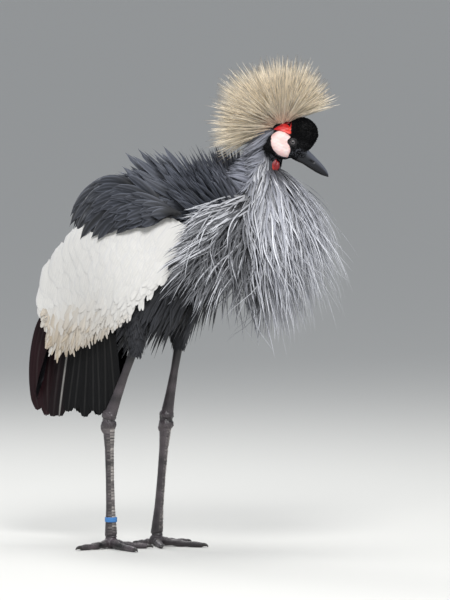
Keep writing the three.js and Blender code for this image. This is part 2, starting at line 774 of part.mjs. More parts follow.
// Neck ruff: rings of long locks stand off the front, and shorter plumes rise behind on the nape
const ruffRings = [
  { up: 0.95, count: 8, front: 92, back: 60, rise: 34 },
  { up: 0.82, count: 9, front: 124, back: 76, rise: 50 },
  { up: 0.66, count: 11, front: 170, back: 96, rise: 57 },
  { up: 0.48, count: 11, front: 186, back: 104, rise: 54 },
  { up: 0.3, count: 11, front: 196, back: 112, rise: 48 },
  { up: 0.12, count: 10, front: 192, back: 118, rise: 43 },
];
const ruffTurn = 20; // degrees to the left of the body's line, where the ruff reaches furthest
const backless = 0.4; // rings below this share of the neck leave the nape to the raised plumes
const neckCurve = new THREE.CatmullRomCurve3(neckLine.map(vec));
const drawRuff = drawFrom(21);
const ruff = [];
function neckRoot(share, turn) {
  const along = neckCurve.getTangent(share);
  const left = new THREE.Vector3(0, 1, 0).addScaledVector(along, -along.y).normalize();
  const ahead = new THREE.Vector3().crossVectors(left, along);
  const face = ahead.multiplyScalar(Math.cos(deg(turn))).addScaledVector(left, Math.sin(deg(turn)));
  return { face, root: neckCurve.getPoint(share).addScaledVector(face, valueAt(neckRadius, share) - 2) };
}
for (const ring of ruffRings) {
  for (let k = 0; k < ring.count; k++) {
    const turn = ((k + drawRuff(0.2, 0.8)) / ring.count) * 360 - 180;
    if (Math.abs(turn) > 105 && ring.up < backless) continue;
    const frontness = ((1 + Math.cos(deg(turn - ruffTurn))) / 2) ** 1.4;
    const { root, face } = neckRoot(ring.up, turn);
    const level = new THREE.Vector3(Math.cos(deg(turn)), Math.sin(deg(turn)), 0);
    const rise = lerp(20, ring.rise, frontness) + drawRuff(-6, 6);
    const way = level.multiplyScalar(Math.sin(deg(rise))).addScaledVector(up, -Math.cos(deg(rise)));
    ruff.push(
      lock({
        root,
        way,
        face,
        length: lerp(ring.back, ring.front, frontness) * drawRuff(0.88, 1.06),
        width: drawRuff(20, 26),
        droop: lerp(0.04, 0.16, frontness),
        sway: drawRuff(-12, 12),
      }),
    );
  }
}
const napeRows = [
  { up: 0.1, turns: [130, 162, 194, 226], length: 122 },
  { up: 0.24, turns: [115, 140, 165, 190, 215, 240], length: 106 },
  { up: 0.4, turns: [135, 165, 195, 225], length: 78 },
];
for (const row of napeRows) {
  for (const turn of row.turns) {
    const { root, face } = neckRoot(row.up, turn + drawRuff(-6, 6));
    const way = new THREE.Vector3(-0.34 + drawRuff(-0.08, 0.08), face.y * 0.4, 0.92).normalize();
    ruff.push(lock({ root, way, face, length: row.length * drawRuff(0.9, 1.06), width: drawRuff(20, 26), droop: 0.06 }));
  }
}
const breastRows = [
  { along: 0.98, rounds: [60, 110, 160] },
  { along: 0.93, rounds: [88, 124, 160] },
];
for (const { along, rounds } of breastRows) {
  for (const round of rounds) {
    for (const side of [1, -1]) {
      const { root, face } = bodyRoot(along, round + drawRuff(-5, 5), side);
      const way = new THREE.Vector3(-0.2, side * 0.12, -0.95).addScaledVector(face, 0.3).normalize();
      ruff.push(
        lock({ root, way, face, length: drawRuff(110, 140), width: drawRuff(22, 28), droop: 0.04, tilt: side * 8 }),
      );
    }
  }
}
shapes.neck = dress(largest(neckCore), ruff, [...folded, shapes.torso, shapes.head, shapes.wattle]);

// Crest: stiff bristles that fan out of the pad, back over the nape and forward over the cap
const bristleCount = 88;
const fanMiddle = 152; // degrees round from the bill, of the fan's middle
const fanHalf = 93;
const padCurve = new THREE.CatmullRomCurve3(padLine.map(vec));
const drawBristle = drawFrom(31);
const bristles = [];
const goldenAngle = 137.508;
for (let k = 0; k < bristleCount; k++) {
  const share = Math.sqrt((k + 0.5) / bristleCount);
  const turn = deg(k * goldenAngle);
  const inFan = fanMiddle + share * Math.cos(turn) * fanHalf;
  const offFan = share * Math.sin(turn) * 62;
  const way = new THREE.Vector3(
    Math.cos(deg(inFan)) * Math.cos(deg(offFan)),
    Math.sin(deg(offFan)),
    Math.sin(deg(inFan)) * Math.cos(deg(offFan)),
  );
  const root = padCurve.getPoint(clamp((inFan - fanMiddle + fanHalf) / (2 * fanHalf), 0, 1));
  root.y += Math.sin(deg(offFan)) * 9;
  const length = crestReach * drawBristle(0.86, 1.08) * (inFan < 90 ? 0.93 : 1);
  bristles.push((lift, grow) => {
    const shaft = new THREE.ConeGeometry(1.7 + 2 * grow, length + grow, 3);
    shaft.translate(0, length / 2, 0);
    shaft.applyQuaternion(new THREE.Quaternion().setFromUnitVectors(new THREE.Vector3(0, 1, 0), way));
    shaft.translate(...root);
    return inHead(solidOf(shaft));
  });
}
shapes.crest = dress(inHead(crestPad(0)), bristles, [
  shapes.head,
  shapes.neck,
  shapes.torso,
  shapes.red_patch_right,
  shapes.red_patch_left,
]);

// Scene graph, moved so that the origin is on the floor under the middle of the whole
const finishes = {
  slate: { color: 0x4a4d57, roughness: 0.85 },
  paleGrey: { color: 0x9d9fa8, roughness: 0.85 },
  velvet: { color: 0x121214, roughness: 0.95 },
  straw: { color: 0xc9ad7c, roughness: 0.7 },
  white: { color: 0xe4e2dc, roughness: 0.8 },
  maroon: { color: 0x2c191c, roughness: 0.6 },
  black: { color: 0x17171a, roughness: 0.65 },
  whiteSkin: { color: 0xe6d9d8, roughness: 0.55 },
  redSkin: { color: 0xb8201f, roughness: 0.5 },
  horn: { color: 0x35363a, roughness: 0.4 },
  eye: { color: 0x9fb0bc, roughness: 0.1 },
  scale: { color: 0x3f3b3e, roughness: 0.7 },
  ring: { color: 0x3a72c2, roughness: 0.35 },
};
const finishOf = [
  [/^torso/, finishes.slate],
  [/^neck/, finishes.paleGrey],
  [/^head/, finishes.velvet],
  [/^crest/, finishes.straw],
  [/^wing/, finishes.white],
  [/^tertials/, finishes.slate],
  [/^remiges/, finishes.maroon],
  [/^tail/, finishes.black],
  [/^cheek/, finishes.whiteSkin],
  [/^(red|wattle)/, finishes.redSkin],
  [/^(bill|claw)/, finishes.horn],
  [/^eye/, finishes.eye],
  [/^(leg_right|leg_left|foot)/, finishes.scale],
  [/^leg_ring/, finishes.ring],
];

const crane = new THREE.Group();
for (const [name, solid] of Object.entries(shapes)) {
  const [, finish] = finishOf.find(([pattern]) => pattern.test(name));
  const mesh = new THREE.Mesh(geometryOf(solid), new THREE.MeshStandardMaterial(finish));
  mesh.name = name;
  crane.add(mesh);
}
const middle = new THREE.Box3().setFromObject(crane).getCenter(new THREE.Vector3());
crane.position.set(-middle.x, -middle.y, 0);
crane.updateMatrixWorld(true);

export default crane;
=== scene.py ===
# A grey crowned crane at life size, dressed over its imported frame.
# Lengths are millimetres in the bird's own frame: +X forward along the body, +Y its left, +Z up.
import math

import bpy
import numpy as np
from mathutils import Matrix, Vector


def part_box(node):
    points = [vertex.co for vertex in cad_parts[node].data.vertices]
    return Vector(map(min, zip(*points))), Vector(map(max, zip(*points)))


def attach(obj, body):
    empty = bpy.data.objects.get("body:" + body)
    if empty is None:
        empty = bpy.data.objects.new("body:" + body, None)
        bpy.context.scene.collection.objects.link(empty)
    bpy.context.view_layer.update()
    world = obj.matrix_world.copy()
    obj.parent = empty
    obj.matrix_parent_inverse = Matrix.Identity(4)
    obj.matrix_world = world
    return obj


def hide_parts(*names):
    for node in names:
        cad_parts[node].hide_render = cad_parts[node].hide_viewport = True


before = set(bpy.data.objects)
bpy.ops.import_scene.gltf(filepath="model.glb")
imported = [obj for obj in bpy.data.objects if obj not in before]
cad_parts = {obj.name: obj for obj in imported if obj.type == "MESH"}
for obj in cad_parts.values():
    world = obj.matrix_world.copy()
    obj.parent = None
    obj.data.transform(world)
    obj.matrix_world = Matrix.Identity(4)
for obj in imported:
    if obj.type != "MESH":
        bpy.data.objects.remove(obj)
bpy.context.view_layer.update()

MM = 1000  # millimetres to the metre
RING_FOOT = (-22, -46)  # where the ringed leg stands
ring_low, ring_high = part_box("leg_ring")
ORIGIN = np.array([(ring_low[k] + ring_high[k]) / 2 * MM - RING_FOOT[k] for k in (0, 1)] + [0])
SIDES = {"right": -1, "left": 1}
UP = np.array([0.0, 0.0, 1.0])

BODY_CENTRE = np.array([30, 0, 514])
BODY_HALF = np.array([174, 72, 94])
BODY_PITCH = 21
RUMP_TAPER = 0.22
NECK_LINE = [(192, 0, 548), (229, 1, 592), (253, 5, 646), (268, 10, 702)]
NECK_RADIUS = [50, 37, 28, 22]
HEAD_PLACE = np.array([312, 12, 719])  # midway between the eyes
HEAD_PITCH = 36
HEAD_TURN = 24
SKULL = [  # centre and half sizes in the head's frame: x to the bill, y left, z up
    ((-12, 0, -1), (36, 19, 24)),
    ((2.5, 0, 24.5), (26, 19, 23)),
    ((10, 0, 13), (21, 16.5, 18)),
    ((-12, 0, -16), (25, 18, 22)),
    ((14, 0, -8), (24, 13, 15)),
    ((-31, 0, -22), (16, 15, 20)),
]
TAIL_LINE = [(-104, 0, 462), (-130, 0, 440), (-148, 0, 404)]
THIGHS = {
    "right": [(36, -36, 458), (30, -42, 400), (28, -45, 350)],
    "left": [(70, 33, 466), (66, 40, 408), (64, 43, 358)],
}
THIGH_GIRTH = [30, 18, 9]
WING_MIDDLE = (25, 500)
WING_REACH = (142, 175)
WING_DEPTH = (36, 58)
WING_TOP = [(138, 572), (85, 597), (10, 596), (-75, 562), (-140, 500)]
WING_BOTTOM = [(114, 478), (72, 440), (12, 408), (-68, 388), (-158, 400)]
ARM_DEPTHS = (1.5, 9)  # the folded arm's outer and inner face under the wing's surface
SKIN_GRAIN = 1.86  # size of the skin's facets
SKIN_RELAX = 6


def unit(vectors):
    return vectors / np.maximum(np.linalg.norm(vectors, axis=-1, keepdims=True), 1e-9)


def turned(axis, degrees):
    angle = math.radians(degrees)
    c, s = math.cos(angle), math.sin(angle)
    if axis == "y":
        return np.array([[c, 0, s], [0, 1, 0], [-s, 0, c]])
    return np.array([[c, -s, 0], [s, c, 0], [0, 0, 1]])


BODY_TURN = turned("y", -BODY_PITCH)
HEAD_AXES = turned("z", HEAD_TURN) @ turned("y", HEAD_PITCH)


def in_head(points):
    return np.asarray(points, float) @ HEAD_AXES.T + HEAD_PLACE


def from_head(points):
    return (points - HEAD_PLACE) @ HEAD_AXES


def along_knots(a, b, c, d, f):
    """A smooth curve between the knots b and c, at the share f of the way."""
    return 0.5 * (2 * b + (c - a) * f + (2 * a - 5 * b + 4 * c - d) * f**2 + (3 * b - a - 3 * c + d) * f**3)


def curve_point(knots, t):
    """Points of a smooth curve through evenly timed knots, for t from 0 to 1."""
    knots = np.asarray(knots, float)
    ends = np.vstack([2 * knots[0] - knots[1], knots, 2 * knots[-1] - knots[-2]])
    place = np.clip(np.asarray(t, float), 0, 1) * (len(knots) - 1)
    k = np.minimum(place.astype(int), len(knots) - 2)
    return along_knots(*(ends[k + i] for i in range(4)), (place - k)[..., None])


def curve_way(knots, t):
    return unit(curve_point(knots, np.minimum(t + 0.01, 1)) - curve_point(knots, np.maximum(t - 0.01, 0)))


def value_along(values, t):
    return np.interp(t, np.linspace(0, 1, len(values)), values)


def scene_places(points):
    """Places of the bird's frame in the scene's, in metres."""
    return (np.asarray(points, float) + ORIGIN) / MM


def make_mesh(name, points, faces):
    """A mesh object from points in the bird's frame and faces of equal size."""
    faces = np.asarray(faces, np.int32)
    mesh = bpy.data.meshes.new(name)
    mesh.vertices.add(len(points))
    mesh.vertices.foreach_set("co", scene_places(points).astype(np.float32).ravel())
    mesh.loops.add(faces.size)
    mesh.loops.foreach_set("vertex_index", faces.ravel())
    mesh.polygons.add(len(faces))
    mesh.polygons.foreach_set("loop_start", np.arange(0, faces.size, faces.shape[1], dtype=np.int32))
    mesh.polygons.foreach_set("use_smooth", np.ones(len(faces), bool))
    mesh.update(calc_edges=True)
    made = bpy.data.objects.new(name, mesh)
    bpy.context.scene.collection.objects.link(made)
    return made


def grid_faces(rows, columns, around=False):
    """Quads over a grid of rows by columns of points, closed around the columns where asked."""
    r, c = np.meshgrid(np.arange(rows - 1), np.arange(columns if around else columns - 1), indexing="ij")
    this, after = r * columns + c, r * columns + (c + 1) % columns
    return np.stack([this, after, after + columns, this + columns], -1).reshape(-1, 4)


def tube(line, widths, depths, sides=24, steps=24, side=(0, 1, 0)):
    """Points and quads of a round limb along a curve, closed to a small flat at each end."""
    t = np.linspace(0, 1, steps)
    centre, way = curve_point(line, t), curve_way(line, t)
    across = unit(np.asarray(side, float) - way * (way @ np.asarray(side, float))[:, None])
    out = np.cross(way, across)
    angle = np.linspace(0, 2 * math.pi, sides, endpoint=False)
    wide = value_along(widths, t)[:, None] * np.cos(angle)
    deep = value_along(depths, t)[:, None] * np.sin(angle)
    rings = centre[:, None] + across[:, None] * wide[..., None] + out[:, None] * deep[..., None]
    caps = [centre[k] + (rings[k] - centre[k]) * 0.02 for k in (0, -1)]
    rings = np.concatenate([caps[0][None], rings, caps[1][None]])
    return rings.reshape(-1, 3), grid_faces(steps + 2, sides, around=True)


def ball(centre, half, sides=32, steps=18):
    """Points and quads of an ellipsoid."""
    high = np.linspace(0.02, math.pi - 0.02, steps)[:, None]
    angle = np.linspace(0, 2 * math.pi, sides, endpoint=False)
    x, y = np.sin(high) * np.cos(angle), np.sin(high) * np.sin(angle)
    ring = np.stack(np.broadcast_arrays(x, y, np.cos(high)), -1)
    return (ring * half + np.asarray(centre, float)).reshape(-1, 3), grid_faces(steps, sides, around=True)


def joined(forms):
    """The points and faces of many forms as one."""
    all_points, all_faces, start = [], [], 0
    for points, faces in forms:
        all_points.append(points)
        all_faces.append(faces + start)
        start += len(points)
    return np.vstack(all_points), np.vstack(all_faces)


def melted_piece(name, forms, grain, relaxes):
    """One closed surface over many overlapping closed forms."""
    piece = make_mesh(name, *joined(forms))
    melt = piece.modifiers.new("melt", "REMESH")
    melt.mode = "VOXEL"
    melt.voxel_size = grain / MM
    relax = piece.modifiers.new("relax", "SMOOTH")
    relax.iterations = relaxes
    whole = bpy.data.meshes.new_from_object(piece.evaluated_get(bpy.context.evaluated_depsgraph_get()))
    piece.modifiers.clear()
    piece.data = whole
    whole.name = name
    whole.polygons.foreach_set("use_smooth", np.ones(len(whole.polygons), bool))
    return piece


def body_point(direction):
    """A point of the bare body for each unit direction from its middle."""
    taper = 1 - RUMP_TAPER * np.maximum(0, -direction[..., :1]) ** 2
    taper = np.concatenate([np.ones_like(taper), taper, taper], -1)
    return (direction * BODY_HALF * taper) @ BODY_TURN.T + BODY_CENTRE


def wing_height(x, z):
    """How far the folded wing's surface stands off the bird's middle plane."""
    away = ((x - WING_MIDDLE[0]) / WING_REACH[0]) ** 2 + ((z - WING_MIDDLE[1]) / WING_REACH[1]) ** 2
    return WING_DEPTH[0] + WING_DEPTH[1] * np.exp(-away)


def wing_place(a, b):
    """x and z on the wing: a from its front to its rear, b from its upper to its lower edge."""
    top, bottom = curve_point(WING_TOP, a), curve_point(WING_BOTTOM, a)
    return top + (bottom - top) * np.asarray(b)[..., None]


def wing_slab(side):
    """The folded arm: a closed slab under the wing's surface."""
    a, b = np.meshgrid(np.linspace(0, 1, 40), np.linspace(0, 1, 24), indexing="ij")
    x, z = np.moveaxis(wing_place(a, b), -1, 0)
    outer, inner = (np.stack([x, side * (wing_height(x, z) - depth), z], -1) for depth in ARM_DEPTHS)
    ring = np.concatenate([outer, inner[:, ::-1]], 1)
    return ring.reshape(-1, 3), grid_faces(40, 48, around=True)


directions, body_faces = ball((0, 0, 0), (1, 1, 1), 64, 40)
forms = [(body_point(directions), body_faces), tube(NECK_LINE, NECK_RADIUS, NECK_RADIUS, 32, 24)]
for centre, half in SKULL:
    points, faces = ball(centre, half)
    forms.append((in_head(points), faces))
forms.append(tube(TAIL_LINE, [20, 22, 17], [20, 16, 9]))
for name, side in SIDES.items():
    forms.append(tube(THIGHS[name], THIGH_GIRTH, THIGH_GIRTH))
    forms.append(wing_slab(side))
skin = melted_piece("skin", forms, SKIN_GRAIN, SKIN_RELAX)


def of_vertices(mesh, what):
    found = np.zeros(len(mesh.vertices) * 3)
    mesh.vertices.foreach_get(what, found)
    return found.reshape(-1, 3)


def points_of(mesh):
    """A mesh's points in the bird's frame."""
    return of_vertices(mesh, "co") * MM - ORIGIN


def linear(colour):
    """An sRGB hex colour as linear red, green and blue."""
    parts = np.array([int(colour[k : k + 2], 16) for k in (1, 3, 5)]) / 255
    return np.where(parts <= 0.04045, parts / 12.92, ((parts + 0.055) / 1.055) ** 2.4)


def ease(value, low, high):
    """0 below low and 1 above high, with a smooth run between."""
    t = np.clip((value - low) / (high - low), 0, 1)
    return t * t * (3 - 2 * t)


def mix(a, b, share):
    """Colours between a and b, one for each share."""
    return a + (b - a) * np.asarray(share)[..., None]


SLATE = linear("#262a33")
SLATE_DEEP = linear("#16181d")
BLACK = linear("#121214")
PALE_GREY = linear("#8d9099")
WHITE = linear("#dbd9d5")
STRAW = linear("#c4b194")
FACE_BLACK = linear("#0d0d0f")
LORE_GREY = linear("#3a3c42")
BELLY_BLACK = linear("#17171a")


def beside_face(head):
    """How far places of the head lie out from the black round the bare face: under 1 they are in it."""
    x, z = head[:, 0], head[:, 2]
    behind = np.hypot((x + 12) / 37, (z + 8) / np.where(z > -8, 64, 40))
    return np.where(x > -12, (-8 - z) / 39, behind)


def marking(points):
    """The plumage's ground colour at each place of the skin."""
    x, off, z = points[:, 0], np.abs(points[:, 1]), points[:, 2]
    head = from_head(points)
    near_head = (np.linalg.norm(points - HEAD_PLACE, axis=1) < 75) & (x > 250)
    lores = ease(head[:, 0] - 0.9 * head[:, 2], 12, 20) * ease(head[:, 2], 3, -2) * near_head
    on_arm = ease(off - wing_height(x, z), -12, -7) * ease(x, 150, 130) * ease(z, 596, 586)
    colour = mix(SLATE, SLATE_DEEP, ease(z + 0.35 * x, 520, 440))
    colour = mix(colour, PALE_GREY, ease(x + 0.55 * (z - 560), 205, 240))
    colour = mix(colour, FACE_BLACK, ease(beside_face(head), 1.06, 0.96) * near_head)
    colour = mix(colour, LORE_GREY, lores)
    colour = mix(colour, BELLY_BLACK, ease(z, 440, 400) * ease(off, 15, 25))
    return mix(colour, WHITE, on_arm)


def paint(piece, colours):
    """Keeps a colour at each point of a piece, for its material to read."""
    rows = np.ones((len(piece.data.vertices), 4), np.float32)
    rows[:, :3] = np.clip(colours, 0, 1).reshape(-1, 3)
    layer = piece.data.color_attributes.new("Marking", "FLOAT_COLOR", "POINT")
    layer.data.foreach_set("color", rows.ravel())


SPINE = [
    (-150, 0, 400), (-90, 0, 470), (30, 0, 514), (150, 0, 552),
    (226, 0, 592), (253, 5, 646), (280, 11, 712),
]
SPINE_STEPS = 240
PART = 8192  # places worked on at a time


def nearest_of(line, points):
    """Which point of a line is nearest to each place, and how far away it is."""
    near, far = np.zeros(len(points), int), np.zeros(len(points))
    for start in range(0, len(points), PART):
        gaps = ((points[start : start + PART, None] - line) ** 2).sum(-1)
        near[start : start + PART] = gaps.argmin(1)
        far[start : start + PART] = np.sqrt(gaps.min(1))
    return near, far


def unwrap(points):
    """Place on an unwrap of the skin: v along the bird's spine, u round it."""
    points = np.asarray(points, float)
    t = np.linspace(0, 1, SPINE_STEPS)
    line = curve_point(SPINE, t)
    found = nearest_of(line, points)[0]
    offset = points - line[found]
    way = curve_way(SPINE, t[found])
    left = unit(np.cross(way, np.cross(np.broadcast_to([0.0, 1.0, 0.0], way.shape), way)))
    above = np.cross(way, left)
    angle = np.arctan2((offset * left).sum(1), (offset * above).sum(1))
    return np.stack([0.5 + angle / (2.04 * math.pi), 0.01 + 0.98 * t[found]], -1)


def add(tree, kind, inputs=None, **settings):
    """Adds a shader node with its settings and its inputs, each a value or another node's socket."""
    made = tree.nodes.new(kind)
    for key, value in settings.items():
        setattr(made, key, value)
    for key, value in (inputs or {}).items():
        if isinstance(value, bpy.types.NodeSocket):
            tree.links.new(value, made.inputs[key])
        else:
            made.inputs[key].default_value = value
    return made


def new_material(name, **values):
    """A material with a Principled surface, its node tree and that surface's node."""
    material = bpy.data.materials.new(name)
    material.use_nodes = True
    surface = material.node_tree.nodes["Principled BSDF"]
    for key, value in values.items():
        surface.inputs[key.replace("_", " ")].default_value = value
    return material, material.node_tree, surface


def spots(tree, size, detail, stretch=None):
    """Cloudy noise over the piece's own space, of a size in mm."""
    place = add(tree, "ShaderNodeTexCoord").outputs["Object"]
    if stretch:
        place = add(tree, "ShaderNodeMapping", {"Vector": place, "Scale": stretch}).outputs["Vector"]
    cloud = {"Vector": place, "Scale": MM / size, "Detail": detail}
    return add(tree, "ShaderNodeTexNoise", cloud).outputs["Fac"]


def scales(tree, size):
    """How deep each place lies within small cells of skin, of a size in mm."""
    place = add(tree, "ShaderNodeTexCoord").outputs["Object"]
    cells = {"Vector": place, "Scale": MM / size}
    return add(tree, "ShaderNodeTexVoronoi", cells, feature="DISTANCE_TO_EDGE").outputs["Distance"]


def marked(tree):
    """The colour painted on the piece."""
    return add(tree, "ShaderNodeAttribute", attribute_name="Marking").outputs["Color"]


def mottle(tree, surface, pattern, low, high, colour=None, **reach):
    """Colours a surface from its marking or one colour, made darker and lighter by a pattern."""
    span = {"Value": pattern, "To Min": low, "To Max": high}
    span.update({key.replace("_", " "): value for key, value in reach.items()})
    tone = add(tree, "ShaderNodeMapRange", span).outputs["Result"]
    ground = marked(tree) if colour is None else tuple(colour)
    shade = add(tree, "ShaderNodeVectorMath", {0: ground, "Scale": tone}, operation="SCALE")
    tree.links.new(shade.outputs["Vector"], surface.inputs["Base Color"])
    return tone


def emboss(tree, surface, height, strength, depth):
    """Raises a surface's fine relief from a pattern, to a depth in mm."""
    relief = add(tree, "ShaderNodeBump", {"Height": height, "Strength": strength, "Distance": depth / MM})
    tree.links.new(relief.outputs["Normal"], surface.inputs["Normal"])


def finish_piece(piece, material, replaced=()):
    """Gives a piece its material, sets it on the frame and hides what it stands for."""
    piece.data.materials.append(material)
    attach(piece, "root")
    if replaced:
        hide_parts(*replaced)


# Bird hide, dull and finely pored; the pores are 0.8 mm, coarser than real ones so that they show.
hide, tree, surface = new_material("feathered hide", Roughness=0.85)
tree.links.new(marked(tree), surface.inputs["Base Color"])
emboss(tree, surface, spots(tree, 0.8, 2.0), 0.4, 0.3)

skin_points = points_of(skin.data)
paint(skin, marking(skin_points))
flesh = ["torso", "neck", "head", "wing_right", "wing_left"]
finish_piece(skin, hide, flesh)

# Contour plumage
# Long lanceolate body feathers of keratin, loose at the edges and rooted in the skin in rows.
# Each is a thin cambered vane along its own bent line, and all vanes of a tract are one mesh.
BAKE_PATCH = 0.003  # side of each feather's patch on the bake map
UNDER_WING = 13  # depth of plumes that lie under the folded wing
UNDER_FOOT, OVER_FOOT = (300, 340), (370, 400)  # heights where the wing's hold on plumes fades


def random_of(seed):
    return np.random.default_rng(seed)


def each(values, feathers):
    """One value for each feather, from a list or from one value for all."""
    return np.broadcast_to(np.asarray(values, float), (len(feathers),))


def even(colour, count):
    """The same colour for each of many feathers."""
    return np.broadcast_to(colour, (count, 3))


def free_lines(roots, ways, faces, length, rows, lift=0.0, curl=0.0, droop=0.0, sway=0.0, sink=6.0):
    """Centre lines of feathers that leave the skin at a root and bend along their length."""
    t = np.linspace(0, 1, rows)[None, :, None]
    shape = (length, lift, curl, droop, sway)
    length, lift, curl, droop, sway = (each(value, roots)[:, None, None] for value in shape)
    out = unit(faces - ways * (faces * ways).sum(-1, keepdims=True))[:, None]
    aside = unit(np.cross(ways, faces))[:, None]
    reach = -sink + (length + sink) * t
    line = roots[:, None] + ways[:, None] * reach + out * (lift * reach + curl * length * t**2)
    return line - UP * (droop * length * t**2) + aside * (sway * length * t**2)


def over_wing(lines, margin=6.0, under=False):
    """Pushes lines out to lie over the folded wings, or in to lie under them."""
    x, y, z = lines[..., 0], lines[..., 1], lines[..., 2]
    foot = UNDER_FOOT if under else OVER_FOOT
    inside = ease(x, 150, 95) * ease(x, -200, -150) * ease(z, 640, 610) * ease(z, *foot)
    side = np.where(y < 0, -1.0, 1.0)
    if under:
        hold = wing_height(x, z) - UNDER_WING + 60 * (1 - inside)
        lines[..., 1] = side * np.minimum(np.abs(y), hold)
        return lines
    cover = (wing_height(x, z) + margin) * inside
    lines[..., 1] = np.where(np.abs(y) > 18, side * np.maximum(np.abs(y), cover), y)
    return lines


def vanes(lines, faces, half, columns=3, camber=0.3, fray=0.0, shed=0.0, seed=1, tilt=0.0):
    """Points of vanes over centre lines: (feather, row, column), with their row and column shares."""
    count, rows = lines.shape[:2]
    rng = random_of(seed)
    c = np.linspace(-1, 1, columns)
    t = np.linspace(0, 1, rows)
    ends = 1 - shed * np.abs(c) ** 1.5 - fray * rng.random((count, columns))
    at = t[None, :, None] * ends[:, None, :] * (rows - 1)
    k = np.minimum(at.astype(int), rows - 2)
    f = (at - k)[..., None]
    index = np.arange(count)[:, None, None]
    centre = lines[index, k] * (1 - f) + lines[index, k + 1] * f
    way = unit(np.gradient(lines, axis=1))
    normal = np.broadcast_to(faces[:, None] if faces.ndim == 2 else faces, lines.shape)
    aside = unit(np.cross(way, normal))
    normal = np.cross(aside, way)
    width = half[..., None] * c
    raised = half[..., None] * (tilt * c - camber * c**2)
    points = centre + aside[:, :, None] * width[..., None] + normal[:, :, None] * raised[..., None]
    return points, np.broadcast_to(t[:, None], (rows, columns)), np.broadcast_to(c, (rows, columns))


def lay_map(piece, name, places, corners):
    """Gives a piece a UV map from the place of each of its points."""
    layer = piece.data.uv_layers.new(name=name)
    layer.data.foreach_set("uv", places.reshape(-1, 2)[corners.ravel()].astype(np.float32).ravel())


def many_faces(faces, count, each_points):
    """The faces of one form, repeated for many like it."""
    return (faces[None] + (np.arange(count) * each_points)[:, None, None]).reshape(-1, 4)


def feather_piece(name, lines, faces, half, length, places, tint, material, slot, replaced=(), **shape):
    """One piece of many vanes, coloured by tint, with its bake map and a map in mm over each vane."""
    points, row, column = vanes(lines, faces, half, **shape)
    count, rows, columns = points.shape[:3]
    corners = many_faces(grid_faces(rows, columns), count, rows * columns)
    piece = make_mesh(name, points.reshape(-1, 3), corners)
    paint(piece, tint(row, column))
    patch = places[:, None, None] + np.stack([column / 2, row - 0.5], -1) * BAKE_PATCH
    blade = np.stack([half[..., None] * column, np.asarray(length)[:, None, None] * row], -1)
    lay_map(piece, "OFBake", patch, corners)
    lay_map(piece, "Blade", blade, corners)
    finish_piece(piece, material, replaced)


def lance(t, shoulder=0.35, root=0.35):
    """Width of a lanceolate feather along its length, as a share of its widest."""
    rise = root + (1 - root) * ease(t, 0, shoulder)
    fall = np.sqrt(np.clip(1 - np.clip((t - shoulder) / (1 - shoulder), 0, 1) ** 1.8, 0, 1))
    return np.maximum(rise * fall, 0.03)


def half_widths(widths, rows, *shape):
    """Half the width of lanceolate feathers at each row, from their widest."""
    return 0.5 * widths[:, None] * lance(np.linspace(0, 1, rows), *shape)


BARB_GAP = 1.6  # between the ribs of barbs, wider than in life so that they show


def feather_material(name, streak, rough, sheen=0.3, streak_width=2.5, gloss=0.35):
    """Keratin vanes: dull with a faint sheen, ribbed by their barbs and streaked along them."""
    finish = {"Sheen_Weight": sheen, "Sheen_Roughness": 0.5, "Specular_IOR_Level": gloss}
    material, tree, surface = new_material(name, Roughness=rough, **finish)
    blade = add(tree, "ShaderNodeUVMap", uv_map="Blade").outputs["UV"]
    across = add(tree, "ShaderNodeSeparateXYZ", {"Vector": blade}).outputs
    aside = add(tree, "ShaderNodeMath", {0: across["X"]}, operation="ABSOLUTE").outputs["Value"]
    slant = add(tree, "ShaderNodeMath", {0: across["Y"], 1: aside}, operation="SUBTRACT").outputs["Value"]
    pitch = {0: slant, 1: 2 * math.pi / BARB_GAP}
    barbs = add(tree, "ShaderNodeMath", pitch, operation="MULTIPLY").outputs["Value"]
    ridges = add(tree, "ShaderNodeMath", {0: barbs}, operation="SINE").outputs["Value"]
    stretch = add(tree, "ShaderNodeMapping", {"Vector": blade, "Scale": (1 / streak_width, 0.03, 1)})
    noise = {"Vector": stretch.outputs["Vector"], "Scale": 1.0, "Detail": 3.0}
    streaks = add(tree, "ShaderNodeTexNoise", noise).outputs["Fac"]
    mottle(tree, surface, streaks, 1 - streak, 1 + streak, From_Min=0.3, From_Max=0.7)
    emboss(tree, surface, ridges, 0.25, 0.2)
    return material


ALONG_STEPS = [-0.7, -0.25, 0.2, 0.6, 0.95]
ROUND_STEPS = [0, 45, 80, 110, 140, 180]
LIE = [  # which way the plumes lie, in degrees from forward through up: rows from rump to neck, back to belly
    [238, 236, 226, 212, 208, 206],
    [202, 202, 206, 208, 213, 216],
    [180, 188, 204, 210, 219, 223],
    [152, 162, 190, 206, 220, 228],
    [132, 144, 180, 204, 224, 238],
]
REACH = [  # how long they are
    [70, 76, 80, 78, 74, 72],
    [104, 104, 100, 88, 82, 80],
    [124, 122, 112, 96, 88, 84],
    [126, 126, 116, 112, 110, 104],
    [132, 124, 116, 112, 112, 112],
]
LIFT = [  # how far they stand off the skin, as a slope
    [0.14, 0.12, 0.1, 0.16, 0.2, 0.22],
    [0.2, 0.16, 0.12, 0.16, 0.2, 0.22],
    [0.3, 0.24, 0.14, 0.18, 0.2, 0.2],
    [0.36, 0.3, 0.2, 0.2, 0.14, 0.12],
    [0.34, 0.3, 0.2, 0.18, 0.14, 0.12],
]


